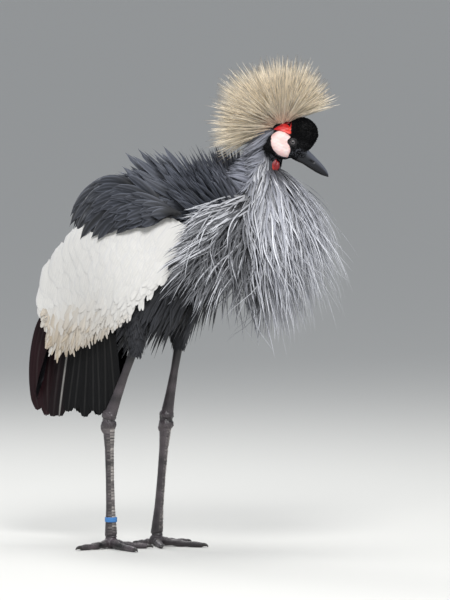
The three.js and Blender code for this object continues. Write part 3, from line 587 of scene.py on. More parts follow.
def over_body(table, along, around):
    """Reads a table of the body at each place."""
    columns = np.stack([np.interp(along, ALONG_STEPS, column) for column in np.array(table, float).T], -1)
    k = np.clip(np.searchsorted(ROUND_STEPS, np.abs(around), side="right") - 1, 0, len(ROUND_STEPS) - 2)
    low, high = np.take(ROUND_STEPS, k), np.take(ROUND_STEPS, k + 1)
    share = np.clip((np.abs(around) - low) / (high - low), 0, 1)
    row = np.arange(len(along))
    return columns[row, k] * (1 - share) + columns[row, k + 1] * share


def body_roots(alongs, rounds, spacing, rng):
    """Staggered roots over a stretch of the body: along it, and round it from the back, both sides."""
    found = []
    ring_count = int((alongs[1] - alongs[0]) * BODY_HALF[0] / spacing)
    for r in range(ring_count):
        along = alongs[0] + (alongs[1] - alongs[0]) * (r + 0.5) / ring_count
        girth = math.sqrt(1 - min(along**2, 0.98)) * (BODY_HALF[1] + BODY_HALF[2]) / 2
        step = math.degrees(spacing / max(girth, 12))
        for around in np.arange(rounds[0] + step * (r % 2) / 2, rounds[1], step):
            found += [(along, around), (along, -around)]
    found = np.array(found)
    found[:, 0] += rng.uniform(-0.4, 0.4, len(found)) * spacing / BODY_HALF[0]
    found[:, 1] += rng.uniform(-0.4, 0.4, len(found)) * spacing / 80 * 57
    return np.clip(found[:, 0], -0.97, 0.985), found[:, 1]


def body_frame(along, around):
    """Root points and outward normals of the body at each place."""
    ring = np.sqrt(1 - along**2)
    angle = np.radians(around)
    direction = np.stack([along, ring * np.sin(angle), ring * np.cos(angle)], -1)
    return body_point(direction), unit(direction / BODY_HALF) @ BODY_TURN.T


# Slate keratin of the body: matt with a slight bloom, clearly streaked along the feather.
slate_vane = feather_material("slate contour feather keratin", 0.3, 0.62, sheen=0.1)
EDGE_SLATE = linear("#6d717d")
EDGE_PALE = linear("#d4d6dd")
# Dark ground of streaked plumes; on the ruff it is also the painted shade of the plumes at its sides and
# back.
STREAK_DARK = linear("#1c1d21")
STOP_ROOM, SHORTEST = 14, 26  # how far ahead of its stop a plume is rooted, and the least length it keeps


def body_plumes(
    name, alongs, rounds, spacing, width, seed, colour_of, keep, stray=6, reach=1, flat=1, droop=0,
    stop=None, behind=False, under=False, rows=8, shoulder=0.35, columns=5, fray=0.05, shed=0.12,
):
    """A tract of body plumes that lie as the tables say."""
    rng = random_of(seed)
    along, around = body_roots(alongs, rounds, spacing, rng)
    kept = keep(along, np.abs(around))
    along, around = along[kept], around[kept]
    roots, normal = body_frame(along, around)
    if stop and not behind:
        ahead = roots[:, 0] > stop(roots[:, 2]) + STOP_ROOM
        along, around, roots, normal = along[ahead], around[ahead], roots[ahead], normal[ahead]
    count = len(roots)
    lie = np.radians(over_body(LIE, along, around) + rng.normal(0, stray, count))
    aside = np.sign(around) * 0.12 * np.sin(np.radians(np.abs(around)))
    ways = np.stack([np.cos(lie), aside + rng.normal(0, 0.07, count), np.sin(lie)], -1)
    ways = unit(ways - normal * (ways * normal).sum(-1, keepdims=True) * 0.75)
    length = over_body(REACH, along, around) * rng.uniform(0.8, 1.08, count) * reach
    if stop:
        limit = stop(roots[:, 2]) - rng.uniform(0, 22, count)
        room = (roots[:, 0] - limit) / np.maximum(-ways[:, 0], 0.25)
        length = np.minimum(length, np.maximum(room, SHORTEST))
    lines = free_lines(
        roots, ways, normal, length, rows,
        lift=over_body(LIFT, along, around) * rng.uniform(0.5, 1.5, count) * flat,
        curl=rng.uniform(-0.14, 0.1, count),
        droop=rng.uniform(0.0, 0.16, count) + droop,
        sway=rng.normal(0, 0.05, count),
    )
    half = half_widths(width * rng.uniform(0.8, 1.15, count), rows, shoulder)
    feather_piece(
        name, over_wing(lines, under=under), normal, half, length, unwrap(roots),
        lambda row, column: colour_of(roots, row, column, rng), slate_vane, "slate_plumage",
        columns=columns, fray=fray, shed=shed, seed=seed,
    )


def plume_colours(root_colour, row, column, rng, edge, edge_share, tip_share, deep=0.45, spread=0.12):
    """Colours over a vane: dark at its root, a painted shade where it lies under the feathers over it, its
    own tone over the blade, paler edges and tip.
    """
    tone = root_colour[:, None, None] * rng.uniform(1 - spread, 1 + spread, (len(root_colour), 1, 1, 1))
    # deep is the painted shade at the root: the vane starts at that share of its tone and brightens over its
    # first 60 percent.
    colour = tone * (deep + (1 - deep) * ease(row, 0.0, 0.6))[None, ..., None]
    rim = edge_share * np.abs(column) ** 4 * ease(row, 0.2, 0.6) + tip_share * ease(row, 0.72, 1.0)
    if column.shape[1] > 3:
        rim = rim + 0.5 * edge_share * (np.abs(column) < 0.1) * ease(row, 0.3, 0.7)
    return mix(colour, edge, np.clip(rim, 0, 1))


def mantle_colour(roots, row, column, rng):
    dim = ease(roots[:, 2] + 0.2 * roots[:, 0], 640, 560)
    ground = mix(SLATE, SLATE_DEEP, 0.55 * dim)
    return plume_colours(ground, row, column, rng, EDGE_SLATE, 0.55, 0.12, deep=0.22, spread=0.25)


def breast_colour(roots, row, column, rng):
    low = ease(roots[:, 2] - 0.25 * (roots[:, 0] - 120), 510, 455)
    high = ease(roots[:, 2], 560, 600)
    streaked = rng.random(len(roots)) < 0.6 - 0.5 * low - 0.6 * high
    ground = mix(STREAK_DARK, BELLY_BLACK, low)
    plain = plume_colours(ground, row, column, rng, EDGE_SLATE, 0.25, 0.1)
    pale = plume_colours(ground * 1.5, row, column, rng, EDGE_PALE, 0.75, 0.45)
    return np.where(streaked[:, None, None, None], pale, plain)


def belly_colour(roots, row, column, rng):
    return plume_colours(even(BELLY_BLACK, len(roots)), row, column, rng, EDGE_SLATE, 0.14, 0.08)


def on_mantle(along, around):
    return around < np.interp(along, (-0.8, -0.2, 0.4, 0.75, 1), (34, 40, 50, 66, 80))


def on_rump(along, around):
    return around < 100


def on_breast(along, around):
    return along * 110 + around > 138


def on_belly(along, around):
    return around > np.interp(along, (-1, 0.2, 0.8), (128, 126, 112))


def mantle_end(height):
    """How far back the mantle's plumes reach over the tertials, at each height of their roots."""
    return np.interp(height, (560, 600, 628), (74, 56, -52))


def rump_end(height):
    """How far back the rump's plumes reach, so that the folded wings hide them, at each height."""
    return np.interp(height, (400, 500, 560), (-136, -112, -66))


def wing_front(height):
    """How far back the side of the breast covers the folded wing, at each height."""
    return 150 - np.clip(569 - height, 0, 200) * 0.37


body_plumes(
    "mantle_plumes", (-0.2, 0.98), (0, 80), 8.0, 17, 3, mantle_colour, on_mantle,
    stop=mantle_end, rows=10, shoulder=0.5, columns=7, fray=0.03, shed=0.04,
)
body_plumes(
    "rump_plumes", (-0.95, -0.1), (0, 100), 9, 18, 6, mantle_colour, on_rump,
    reach=0.8, flat=0.3, stop=rump_end, behind=True, under=True,
)
body_plumes(
    "breast_plumes", (0.3, 0.985), (60, 150), 6.2, 7, 4, breast_colour, on_breast,
    stray=4, reach=1.15, flat=0.7, stop=wing_front, rows=10, columns=3, fray=0.0, shed=0.0,
)
body_plumes(
    "belly_plumes", (-0.8, 0.96), (112, 180), 7, 8, 5, belly_colour, on_belly,
    stray=7, reach=1.08, droop=0.15, under=True, columns=3, fray=0.0, shed=0.0,
)

# Folded wings
# Broad white coverts in rows, slate tertials and scapulars, and stiff maroon to black flight feathers.
# They are laid on the folded wing's surface from front to rear, each row over the roots of the next.
WING_LENGTH = 300
FLIGHT_DEPTH = 9  # depth of the flight feathers' roots under the wing's surface
COVERT_ROWS = [  # place down the wing, spacing, length at the front, length at the rear, width
    (-0.02, 17, 56, 62, 40),
    (0.06, 17, 56, 64, 40),
    (0.15, 16, 56, 66, 39),
    (0.24, 16, 56, 70, 38),
    (0.33, 15, 58, 74, 35),
    (0.42, 13, 58, 78, 28),
    (0.5, 9, 58, 84, 20),
    (0.58, 5.6, 58, 90, 11.5),
    (0.66, 4.2, 58, 94, 8),
    (0.75, 3.6, 58, 96, 6.4),
    (0.85, 3.2, 58, 96, 5.6),
    (0.94, 3, 58, 94, 5.2),
]
COVERT_PLACE = [0, 0.2, 0.4, 0.6, 0.8, 0.89, 0.94, 1]
COVERT_OVERHANG = [12, 14, 19, 28, 44, 66, 44, -4]  # how far they hang below the wing, front to rear
# Grey of the painted shade along the coverts' rims and tips.
COVERT_PAINTED_SHADE = linear("#b9bcc6")
STRAW_DEEP = linear("#8d7a60")
TERTIAL_COUNT = 15
TERTIAL_ROOTS = [(84, 616), (92, 612), (98, 606), (104, 600), (112, 594)]
TERTIAL_ARCH = [(-36, 690), (-34, 664), (-10, 640), (34, 612), (90, 594)]
TERTIAL_TIPS = [(-109, 562), (-92, 548), (-70, 540), (-18, 546), (58, 566)]
TERTIAL_BLACK = linear("#16181e")
SCAPULARS = [  # where each layer's feathers start and end on the tertials' arcs, how many, width
    (0.4, 0.92, 8, 21),
    (0.3, 0.76, 9, 20),
    (0.14, 0.6, 9, 19),
    (0.0, 0.44, 9, 18),
    (-0.12, 0.3, 9, 17),
]
FLIGHT_COUNT = 16
FLIGHT_FIRST = {"right": -16, "left": -46}  # where the innermost flight feather is rooted
FLIGHT_LAST = -158
FLIGHT_LENGTHS = [160, 172, 184, 193, 194, 184]
PALE_SHAFT = 9  # the flight feather whose pale shaft shows

# White keratin of the coverts: soft and evenly matt, with hardly a streak.
# Maroon and black keratin of the flight feathers: stiff, with broad streaks and no bloom.
white_vane = feather_material("white covert feather keratin", 0.05, 0.6, sheen=0.1)
flight_vane = feather_material("stiff flight feather keratin", 0.22, 0.6, 0.0, streak_width=5, gloss=0.16)


def wing_normal(side, x, z):
    slope_x = (wing_height(x + 1, z) - wing_height(x - 1, z)) / 2
    slope_z = (wing_height(x, z + 1) - wing_height(x, z - 1)) / 2
    return unit(np.stack([-slope_x, np.broadcast_to(side, x.shape), -slope_z], -1))


def laid_lines(side, x, z, angle, length, heights, rows, bend):
    """Centre lines of feathers laid on a wing, and the wing's normals under them."""
    t = np.linspace(0, 1, rows)[None]
    angle, length, bend = (each(values, x)[:, None] for values in (angle, length, bend))
    reach, way = length * t, np.radians(angle + bend * t)
    px, pz = x[:, None] - np.cos(way) * reach, z[:, None] - np.sin(way) * reach
    rise = np.array([value_along(values, t[0]) for values in heights])
    return np.stack([px, side * (wing_height(px, pz) + rise), pz], -1), wing_normal(side, px, pz)


def wing_unwrap(side, a, b):
    return np.stack([0.5 + 0.25 * side + 0.48 * (a - 0.5), b * 0.96 + 0.02], -1)


def rounded(t, shoulder=0.55):
    """Width of a broad round-ended feather along its length."""
    rise = 0.45 + 0.55 * ease(t, 0, 0.35)
    fall = np.sqrt(np.clip(1 - np.clip((t - shoulder) / (1 - shoulder), 0, 1) ** 2.2, 0, 1))
    return np.maximum(rise * fall, 0.32)


def lay_coverts(name, side, rng):
    """White coverts in rows down the wing: broad above, narrow and loose below, straw-stained at the rear."""
    found = []
    for order, (b, spacing, front, rear, width) in enumerate(COVERT_ROWS):
        count = int(WING_LENGTH / spacing)
        for a in (np.arange(count) + 0.5 + 0.5 * (order % 2)) / count:
            found.append((min(a, 1), b, np.interp(a, (0, 1), (front, rear)), width))
    a, b, length, width = np.array(found).T
    a, b = a + rng.normal(0, 0.012, len(a)), b + rng.normal(0, 0.011, len(a))
    b = np.clip(b + rng.normal(0, 0.022, len(b)) * ease(b, 0.5, 0.66), 0, 0.97)
    kept = (a > 0.34) | (b < 0.7 + 0.4 * a)
    a, b, length, width = a[kept], b[kept], length[kept], width[kept]
    count = len(a)
    on_wing = np.clip(a, 0, 1)
    x, z = wing_place(on_wing, b).T
    depth = np.linalg.norm(wing_place(on_wing, 0 * a) - wing_place(on_wing, 0 * a + 1), axis=-1)
    room = ((1 - b) * depth + np.interp(a, COVERT_PLACE, COVERT_OVERHANG)) / 0.9
    length = length * rng.uniform(0.9, 1.1, count)
    length = np.minimum(length, np.maximum(room, 10) * rng.uniform(0.82, 1.0, count))
    loose = ease(b, 0.45, 0.66)
    angle = np.interp(a, (0, 0.75, 1), (58, 67, 83 - 8 * loose.mean()))
    angle = angle + rng.normal(0, 2.6 + 2 * loose, count) + 4 * ease(b, 0.4, 0.9)
    wild = rng.uniform(0, 1, (3, count)) * loose
    rise = np.stack([0 * a - 1.9, 0.5 * wild[0] - 0.8, 1.2 * wild[1] + 0.1, 3.6 * wild[2] + 0.6], -1)
    lines, normal = laid_lines(side, x, z, angle, length, rise, 12, rng.normal(0, 1.5 + 6 * loose))
    t = np.linspace(0, 1, 12)
    half = 0.5 * width[:, None] * mix(rounded(t, 0.72), rounded(t, 0.82), loose)

    def tint(row, column):
        rear = ease(a + 0.55 * b, 0.7, 1.3)
        stained = 0.8 * rear * ease(b, 0.35, 0.7) * rng.uniform(0.2, 1, count)
        tone = mix(WHITE, STRAW, stained)[:, None, None] * rng.uniform(0.95, 1.0, (count, 1, 1, 1))
        tone = tone * (1 - 0.28 * (rear * loose * rng.random(count))[:, None, None, None])
        # Painted shade: a faint grey along each covert's side rims and its tip, where it meets the feathers
        # around it.
        rim = np.maximum(np.abs(column) ** 8 * 0.2, 0.08 * ease(row, 0.9, 1.0))
        tipped = ease(row, 0.7, 1.0) * (rear * loose * rng.uniform(0, 1, count))[:, None, None]
        edged = np.abs(column) ** 2 * (rear * loose * rng.uniform(0, 1, count))[:, None, None]
        return mix(mix(tone, COVERT_PAINTED_SHADE, rim), STRAW_DEEP, np.clip(0.35 * tipped + 0.75 * edged, 0, 0.9))

    feather_piece(
        f"coverts_{name}", lines, normal, half, length, wing_unwrap(side, a, b), tint,
        white_vane, "white_covert", columns=7, camber=0.05, tilt=0.04,
    )


def tertial_arc(share, t, rng, loose):
    """Curves in x and z from root over an arch to the tip, from the highest tertial to the lowest."""
    root, arch, tip = (
        np.stack([value_along(list(along), share) for along in zip(*line)], -1)
        + rng.normal(0, loose, (len(share), 2))
        for line in (TERTIAL_ROOTS, TERTIAL_ARCH, TERTIAL_TIPS)
    )
    return root[:, None] * (1 - t) ** 2 + arch[:, None] * 2 * t * (1 - t) + tip[:, None] * t**2


def over_top(side, arc, rise, share, t):
    """Centre lines over the wing's top along arcs, their normals and their lengths."""
    x, z = arc[..., 0], arc[..., 1]
    inward = np.interp(share, (0, 1), (20, 2))[:, None] * t**2
    lines = np.stack([x, side * (wing_height(x, z) + rise - inward), z], -1)
    return lines, wing_normal(side, x, z), np.linalg.norm(np.diff(arc, axis=1), axis=-1).sum(1)


def lay_tertials(name, side, rng):
    """Long tertials that arch over the wing's top and droop behind it."""
    share = np.linspace(0, 1, TERTIAL_COUNT)  # 0 for the highest
    t = np.linspace(0, 1, 18)[None]
    arc = tertial_arc(share, t[..., None], rng, 3)
    stack = 3 * (np.arange(TERTIAL_COUNT) % 2)[:, None]
    rise = 3 + 7 * share[:, None] + 5 * np.sin(math.pi * t) + stack + rng.uniform(0, 2, (TERTIAL_COUNT, 1))
    lines, normal, length = over_top(side, arc, rise, share, t)
    half = half_widths(rng.uniform(24, 31, TERTIAL_COUNT), 18, 0.55, 0.4)
    ground = even(TERTIAL_BLACK, TERTIAL_COUNT)
    feather_piece(
        f"long_tertials_{name}", lines, normal, half, length,
        wing_unwrap(side, 0.1 + 0.3 * share, 0.02 + 0.2 * share),
        lambda row, column: plume_colours(ground, row, column, rng, EDGE_SLATE, 0.5, 0.0, spread=0.3),
        slate_vane, "slate_plumage", [f"tertials_{name}"],
        columns=11, camber=0.22, fray=0.02, shed=0.03, seed=60 + side,
    )


def lay_scapulars(name, side, rng):
    """Layers of shorter feathers over the tertials' roots, the last layer foremost and on top."""
    found = []
    for layer, (first, last, many, wide) in enumerate(SCAPULARS):
        for place_down in (np.arange(many) + 0.5 * (layer % 2)) / (many - 0.5):
            found.append((place_down, first, last, wide, layer))
    share, first, last, wide, layer = np.array(found).T
    count = len(share)
    first, last = first + rng.normal(0, 0.03, count), last + rng.normal(0, 0.045, count)
    lying = np.linspace(0, 1, 10)[None]
    t = first[:, None] * (1 - lying) + last[:, None] * lying
    arc = tertial_arc(share, t[..., None], rng, 4)
    stray = np.radians(rng.normal(0, 7, count))[:, None]
    away = arc - arc[:, :1]
    x = away[..., 0] * np.cos(stray) - away[..., 1] * np.sin(stray)
    z = away[..., 0] * np.sin(stray) + away[..., 1] * np.cos(stray)
    arc = arc[:, :1] + np.stack([x, z], -1)
    rise = 7 + 7 * share[:, None] + 5 * np.sin(math.pi * np.clip(t, 0, 1)) + 1.6 * layer[:, None]
    rise = rise + 5.5 * lying - 3 + rng.uniform(-1, 2.5, (count, 1)) * lying
    lines, normal, length = over_top(side, arc, rise, share, t)
    half = half_widths(wide * rng.uniform(0.8, 1.1, count), 10, 0.5, 0.45)
    ground = mix(TERTIAL_BLACK, SLATE, 0.5 * rng.random(count))
    feather_piece(
        f"scapulars_{name}", lines, normal, half, length,
        wing_unwrap(side, 0.1 + 0.3 * share, 0.3 + 0.2 * first),
        lambda row, column: plume_colours(ground, row, column, rng, EDGE_SLATE, 0.5, 0.06, 0.2, 0.3),
        slate_vane, "slate_plumage", columns=7, camber=0.25, fray=0.04, shed=0.03, seed=64 + side,
    )


def lay_flight_feathers(name, side, rng):
    """Stiff secondaries and primaries under the coverts, black in front and maroon at the rear."""
    t = np.linspace(0, 1, FLIGHT_COUNT)
    x, z = np.interp(t, (0, 1), (FLIGHT_FIRST[name], FLIGHT_LAST)), np.interp(t, (0, 1), (404, 428))
    length = value_along(FLIGHT_LENGTHS, t) + rng.normal(0, 7, FLIGHT_COUNT)
    depth = -FLIGHT_DEPTH - 1.1 * np.arange(FLIGHT_COUNT)
    rise = np.stack([depth, depth, depth + 1.5], -1)
    angle = np.interp(t, (0, 0.6, 1), (84, 75, 53)) + rng.normal(0, 1.6, FLIGHT_COUNT)
    bend = np.interp(t, (0, 0.6, 1), (2, 5, 26))
    lines, normal = laid_lines(side, x, z, angle, length, rise, 24, bend)
    blunt = np.maximum(rounded(np.linspace(0, 1, 24), 0.88), 0.5)
    half = 0.5 * rng.uniform(25, 29, FLIGHT_COUNT)[:, None] * blunt
    ground = mix(linear("#0a0a0c"), linear("#220f13"), ease(t, 0.45, 0.95))
    bright = np.where(np.arange(FLIGHT_COUNT) == PALE_SHAFT, 0.6, 0.03)[:, None, None]

    def tint(row, column):
        tone = plume_colours(ground, row, column, rng, linear("#1c1d22"), 0.2, 0.0, deep=0.8)
        return mix(tone, linear("#b9b6b2"), (np.abs(column) < 0.1) * bright)

    feather_piece(
        f"flight_feathers_{name}", lines, normal, half, length,
        wing_unwrap(side, 0.5 + 0.45 * t, each(0.9, t)), tint,
        flight_vane, "flight_feather", [f"remiges_{name}"],
        columns=11, camber=0.2, fray=0.012, shed=0.012, seed=70 + side,
    )


for name, side in SIDES.items():
    rng = random_of(40 + side)
    lay_coverts(name, side, rng)
    lay_tertials(name, side, rng)
    lay_scapulars(name, side, rng)
    lay_flight_feathers(name, side, rng)

# Tail
# A dozen stiff black feathers of keratin, mostly hidden between the folded wings.
# They are rooted in the rump in a low fan, the outer ones shorter.
TAIL_COUNT = 12
TAIL_BLACK = linear("#121215")
rng = random_of(80)
fan = np.linspace(-1, 1, TAIL_COUNT)
edge = np.abs(fan)
tail_face = unit(np.array([-0.96, 0, 0.29]))
roots = np.stack([-143 - 3 * edge, 11 * fan, 420 + 0 * fan], -1) - tail_face * (edge[:, None] * 6)
ways = unit(np.stack([0 * fan - 0.29, 0.1 * fan, 0 * fan - 0.96], -1))
faces = np.broadcast_to(tail_face, (TAIL_COUNT, 3))
length = 186 - 24 * edge
half = 0.5 * 25 * np.ones((TAIL_COUNT, 1)) * rounded(np.linspace(0, 1, 14), 0.8)
ground = even(TAIL_BLACK, TAIL_COUNT)
feather_piece(
    "tail_feathers", free_lines(roots, ways, faces, length, 14, sink=12), faces, half, length, unwrap(roots),
    lambda row, column: plume_colours(ground, row, column, rng, linear("#3c3a40"), 0.2, 0.0, deep=0.8),
    flight_vane, "tail_feather", ["tail"], columns=9, camber=0.2, fray=0.02, shed=0.08, seed=80,
)

# Neck ruff and nape
# Long narrow pale plumes, with whiter edges and tips, that hang round the drawn-in neck like a shawl; on the
# plumes in front the broad white edges are partly painted highlights.
# Short close plumes cover the upper neck and darker raised ones the nape; all are rooted in the neck.
NECK_LENGTH = 185
RUFF_UP = [0.0, 0.12, 0.3, 0.48, 0.66, 0.82, 0.95]  # places up the neck, for the three rows below
RUFF_FRONT = [176, 188, 200, 204, 198, 164, 92]  # lengths in front
RUFF_BACK = [126, 132, 136, 118, 72, 46, 30]  # lengths behind
RUFF_RISE = [34, 44, 56, 66, 73, 74, 64]  # how far from straight down they leave, in degrees
REAR_RISE = 26
RUFF_TURN = 20  # degrees to the bird's left, where the ruff reaches furthest
RUFF_ROWS = 13
RUFF_SINK = 5.0  # how deep its plumes are rooted
LOCK = 10  # plumes to a lock
SWEEP = 74  # degrees that the sides' plumes are swept back
RUFF_GREY = linear("#82848f")
RUFF_DARK = linear("#2f3036")
RUFF_PALE = linear("#dcdde2")


def neck_frame(share, turn):
    """Root points, outward normals and level directions of the neck at each place."""
    along = curve_way(NECK_LINE, share)
    left = unit(np.array([0, 1, 0]) - along * along[:, 1:2])
    ahead = np.cross(left, along)
    angle = np.radians(turn)[:, None]
    face = ahead * np.cos(angle) + left * np.sin(angle)
    level = np.hstack([np.cos(angle), np.sin(angle), 0 * angle])
    roots = curve_point(NECK_LINE, share) + face * value_along(NECK_RADIUS, share)[:, None]
    return roots, face, level


def neck_roots(low, high, spacing, turns, rng):
    found = []
    for share in np.arange(low, high, spacing / NECK_LENGTH):
        step = math.degrees(spacing / value_along(NECK_RADIUS, share))
        found += [(share, turn) for turn in np.arange(turns[0] + step * rng.random(), turns[1], step)]
    share, turn = np.array(found).T
    share = np.clip(share + rng.normal(0, 0.006, len(share)), 0, 1)
    return share, turn + rng.normal(0, 2, len(turn))


LEAST_LEFT = 0.3  # share that is always left of a plume that is cut back
WIDE_FROM, WIDE_ROOM = 122, 32  # from where plumes are bent in, and how far past it they can reach


def stopped(lines, limit):
    """Lines cut back where their ends pass behind a limit in x."""
    count, rows = lines.shape[:2]
    start, end = lines[:, 0, 0], lines[:, -1, 0]
    share = np.clip((start - limit) / np.maximum(start - end, 1), LEAST_LEFT, 1)
    share = np.where(end < limit, share, 1)
    at = np.linspace(0, 1, rows)[None] * share[:, None] * (rows - 1)
    step = np.minimum(at.astype(int), rows - 2)
    part = (at - step)[..., None]
    index = np.arange(count)[:, None]
    return lines[index, step] * (1 - part) + lines[index, step + 1] * part


def narrowed(lines):
    """Lines bent in where they reach far to a side."""
    wide = np.maximum(np.abs(lines[..., 1]) - WIDE_FROM, 0)
    lines = lines.copy()
    lines[..., 1] -= np.sign(lines[..., 1]) * (wide - WIDE_ROOM * (1 - np.exp(-wide / WIDE_ROOM)))
    return lines


def clumped(lines, roots, many, pull, rng):
    """Lines drawn towards one of their neighbours, so that they end in pointed locks."""
    leaders = rng.choice(len(roots), len(roots) // many, replace=False)
    nearest = ((roots[:, None] - roots[leaders]) ** 2).sum(-1).argmin(1)
    way = unit(np.gradient(lines, axis=1))
    gap = lines[leaders[nearest]] - lines
    gap = gap - way * (gap * way).sum(-1, keepdims=True)
    return lines + gap * pull * np.linspace(0, 1, lines.shape[1])[None, :, None] ** 1.4


def clear_of_body(lines, margin):
    """Pushes lines out of the bare body so that they hang over it."""
    local = (lines - BODY_CENTRE) @ BODY_TURN / (BODY_HALF + margin)
    size = np.linalg.norm(local, axis=-1, keepdims=True)
    out = local / np.maximum(size, 1e-6) * np.maximum(size, 1)
    return (out * (BODY_HALF + margin)) @ BODY_TURN.T + BODY_CENTRE


def hanging_lines(roots, level, start, end, length, sway, wave):
    """Wavy centre lines that leave at one angle from straight down and bend to another, in degrees."""
    start, end, length, sway, wave = (values[:, None] for values in (start, end, length, sway, wave))
    t = np.linspace(0, 1, RUFF_ROWS)[None]
    angle = np.radians(start + (end - start) * t**0.8)
    aside = unit(np.cross(level, UP))[:, None]
    steps = level[:, None] * np.sin(angle)[..., None] - UP * np.cos(angle)[..., None]
    swing = sway * t + 0.24 * (1 - 0.6 * t) * np.sin(2 * math.pi * (1.2 * t + wave))
    steps = unit(steps + aside * swing[..., None])
    run = np.cumsum((steps[:, 1:] + steps[:, :-1]) / 2, 1) * (length / (RUFF_ROWS - 1))[..., None]
    first = roots - steps[:, 0] * RUFF_SINK
    return first[:, None] + np.concatenate([np.zeros_like(run[:, :1]), run], 1)


# Pale loose keratin of the neck: silky, with a bloom and narrow streaks 1.5 mm apart.
pale_vane = feather_material("pale loose neck feather keratin", 0.16, 0.6, streak_width=1.5)


def ruff_tract(name, low, high, spacing, turns, width, seed, reach, margin, dark):
    """A tract of the ruff: it hangs from the front of the neck and is swept back at its sides."""
    rng = random_of(seed)
    share, turn = neck_roots(low, high, spacing, turns, rng)
    throat = (share > 0.86) & (np.abs(turn - RUFF_TURN) < 85)
    share, turn = share[~throat], turn[~throat]
    roots, face, level = neck_frame(share, turn)
    count = len(roots)
    front = ((1 + np.cos(np.radians(turn - RUFF_TURN))) / 2) ** 0.9
    rise = REAR_RISE + (np.interp(share, RUFF_UP, RUFF_RISE) - REAR_RISE) * front + rng.normal(0, 6, count)
    longest_behind, longest_ahead = (np.interp(share, RUFF_UP, row) for row in (RUFF_BACK, RUFF_FRONT))
    longest = longest_behind * (1 - front) + longest_ahead * front
    length = longest * rng.uniform(*reach, count)
    aside = turn - RUFF_TURN
    back = ease(np.abs(aside) + rng.normal(0, 8, count), 28, 84)
    back = back * ease(share + rng.normal(0, 0.03, count), 0.68, 0.46)
    swung = np.radians(turn + np.sign(aside) * SWEEP * back + rng.normal(0, 7, count))
    swept_rise = np.interp(share, (0, 0.25, 0.5), (72, 84, 98)) + rng.normal(0, 5, count)
    rise = rise + (swept_rise - rise) * back
    level = np.stack([np.cos(swung), np.sin(swung), 0 * swung], -1)
    last = rise * (rng.uniform(0.05, 0.4, count) + 0.5 * back)
    curl = rng.normal(0, 0.12 + 0.2 * ease(share, 0.3, 0.7), count)
    lines = hanging_lines(roots, level, rise, last, length, curl, rng.random(count))
    lines = clumped(lines, roots, LOCK, rng.uniform(0.4, 0.85, (count, 1, 1)), rng)
    lines = narrowed(clear_of_body(lines, margin))
    lines = stopped(lines, wing_front(lines[:, -1, 2]) + rng.uniform(-10, 22, count))
    half = half_widths(width * rng.uniform(0.55, 1.25, count), RUFF_ROWS, 0.25, 0.5)

    def tint(row, column):
        # Painted light and shade: plumes that end in front are painted lit, grey with broad white edges and
        # tips as painted highlights; those at the sides and swept back are painted in shade, on a dark ground
        # with a few pale streaks.
        x, y, z = lines[:, -1].T
        ahead = x * math.cos(math.radians(RUFF_TURN)) + y * math.sin(math.radians(RUFF_TURN))
        lit_edge = 219 + np.clip(610 - z, -40, 110) * 0.37
        lit = np.minimum(ease(ahead - lit_edge, -22, 18), 1 - 0.8 * back)
        # Dark plumes, a share of each tract, are painted shade in the gaps between strands.
        ground = mix(RUFF_GREY, RUFF_DARK, 0.9 * (rng.random(count) < dark))
        ground = mix(ground, RUFF_PALE, 0.8 * (rng.random(count) < 0.3 * (1 - dark)))
        streaked = rng.random(count) < (0.2 + 0.45 * back * ease(z, 470, 540)) * (1 - 0.5 * dark)
        ground = mix(mix(STREAK_DARK, RUFF_PALE, 0.7 * streaked), ground, lit)
        pale = plume_colours(ground, row, column, rng, RUFF_PALE, 0.8, 0.7, deep=0.25, spread=0.2)
        plain = plume_colours(ground, row, column, rng, EDGE_PALE, 0.25, 0.12, deep=0.3, spread=0.2)
        return mix(plain, pale, (lit * (1 - 0.6 * dark))[:, None, None])

    feather_piece(
        name, lines, unit(face + level), half, length, unwrap(roots), tint,
        pale_vane, "pale_grey_plumage", camber=0.35,
    )


# The dark share of each tract is painted shade: dark plumes stand for the shade between strands, most of all
# in the under layer.
ruff_tract("ruff_plumes", 0.0, 0.9, 2.8, (-105, 145), 2.7, 90, (0.6, 1.03), 12, 0.3)
ruff_tract("ruff_wisps", 0.1, 0.8, 13, (-60, 100), 1.7, 92, (1.02, 1.16), 12, 0.0)
ruff_tract("ruff_under_plumes", 0.0, 0.97, 3.8, (-150, 190), 3.8, 91, (0.25, 0.66), 9, 0.8)

# Plumes of the neck's sides and shoulders, swept back over the wings' front edges.
SHOULDER_TOP = 0.42
rng = random_of(93)
share, turn = neck_roots(0.0, SHOULDER_TOP, 4.4, (80, 170), rng)
share, turn = np.tile(share, 2), np.concatenate([turn, -turn])
roots, face, level = neck_frame(share, turn)
count = len(roots)
rise = rng.normal(0.1, 0.12, count) + 0.25 - 0.5 * (1 - share / SHOULDER_TOP)
ways = unit(np.stack([np.full(count, -0.92), np.sign(turn) * 0.42, rise], -1))
length = np.interp(share, (0, SHOULDER_TOP), (128, 84)) * rng.uniform(0.6, 1.05, count)
droop, sway = rng.uniform(0.3, 0.6, count), rng.normal(0, 0.06, count)
lines = free_lines(roots, ways, face, length, 12, droop=droop, sway=sway, curl=-0.05)
lines = narrowed(over_wing(clear_of_body(lines, 8), margin=8))
lines = stopped(lines, wing_front(lines[:, -1, 2]) + rng.uniform(-6, 16, count))
half = half_widths(6 * rng.uniform(0.7, 1.2, count), 12, 0.3, 0.5)


def shoulder_tint(row, column):
    ground = mix(SLATE, RUFF_GREY, 0.4 * rng.random(count) ** 2)
    streaked = (rng.random(count) < 0.42)[:, None, None, None]
    plain = plume_colours(ground, row, column, rng, EDGE_SLATE, 0.4, 0.1, deep=0.4)
    pale = plume_colours(ground, row, column, rng, RUFF_PALE, 0.9, 0.4, deep=0.4)
    return np.where(streaked, pale, plain)


feather_piece(
    "shoulder_plumes", lines, unit(face + (0, 0, 0.4)), half, length, unwrap(roots), shoulder_tint,
    pale_vane, "pale_grey_plumage", camber=0.35,
)

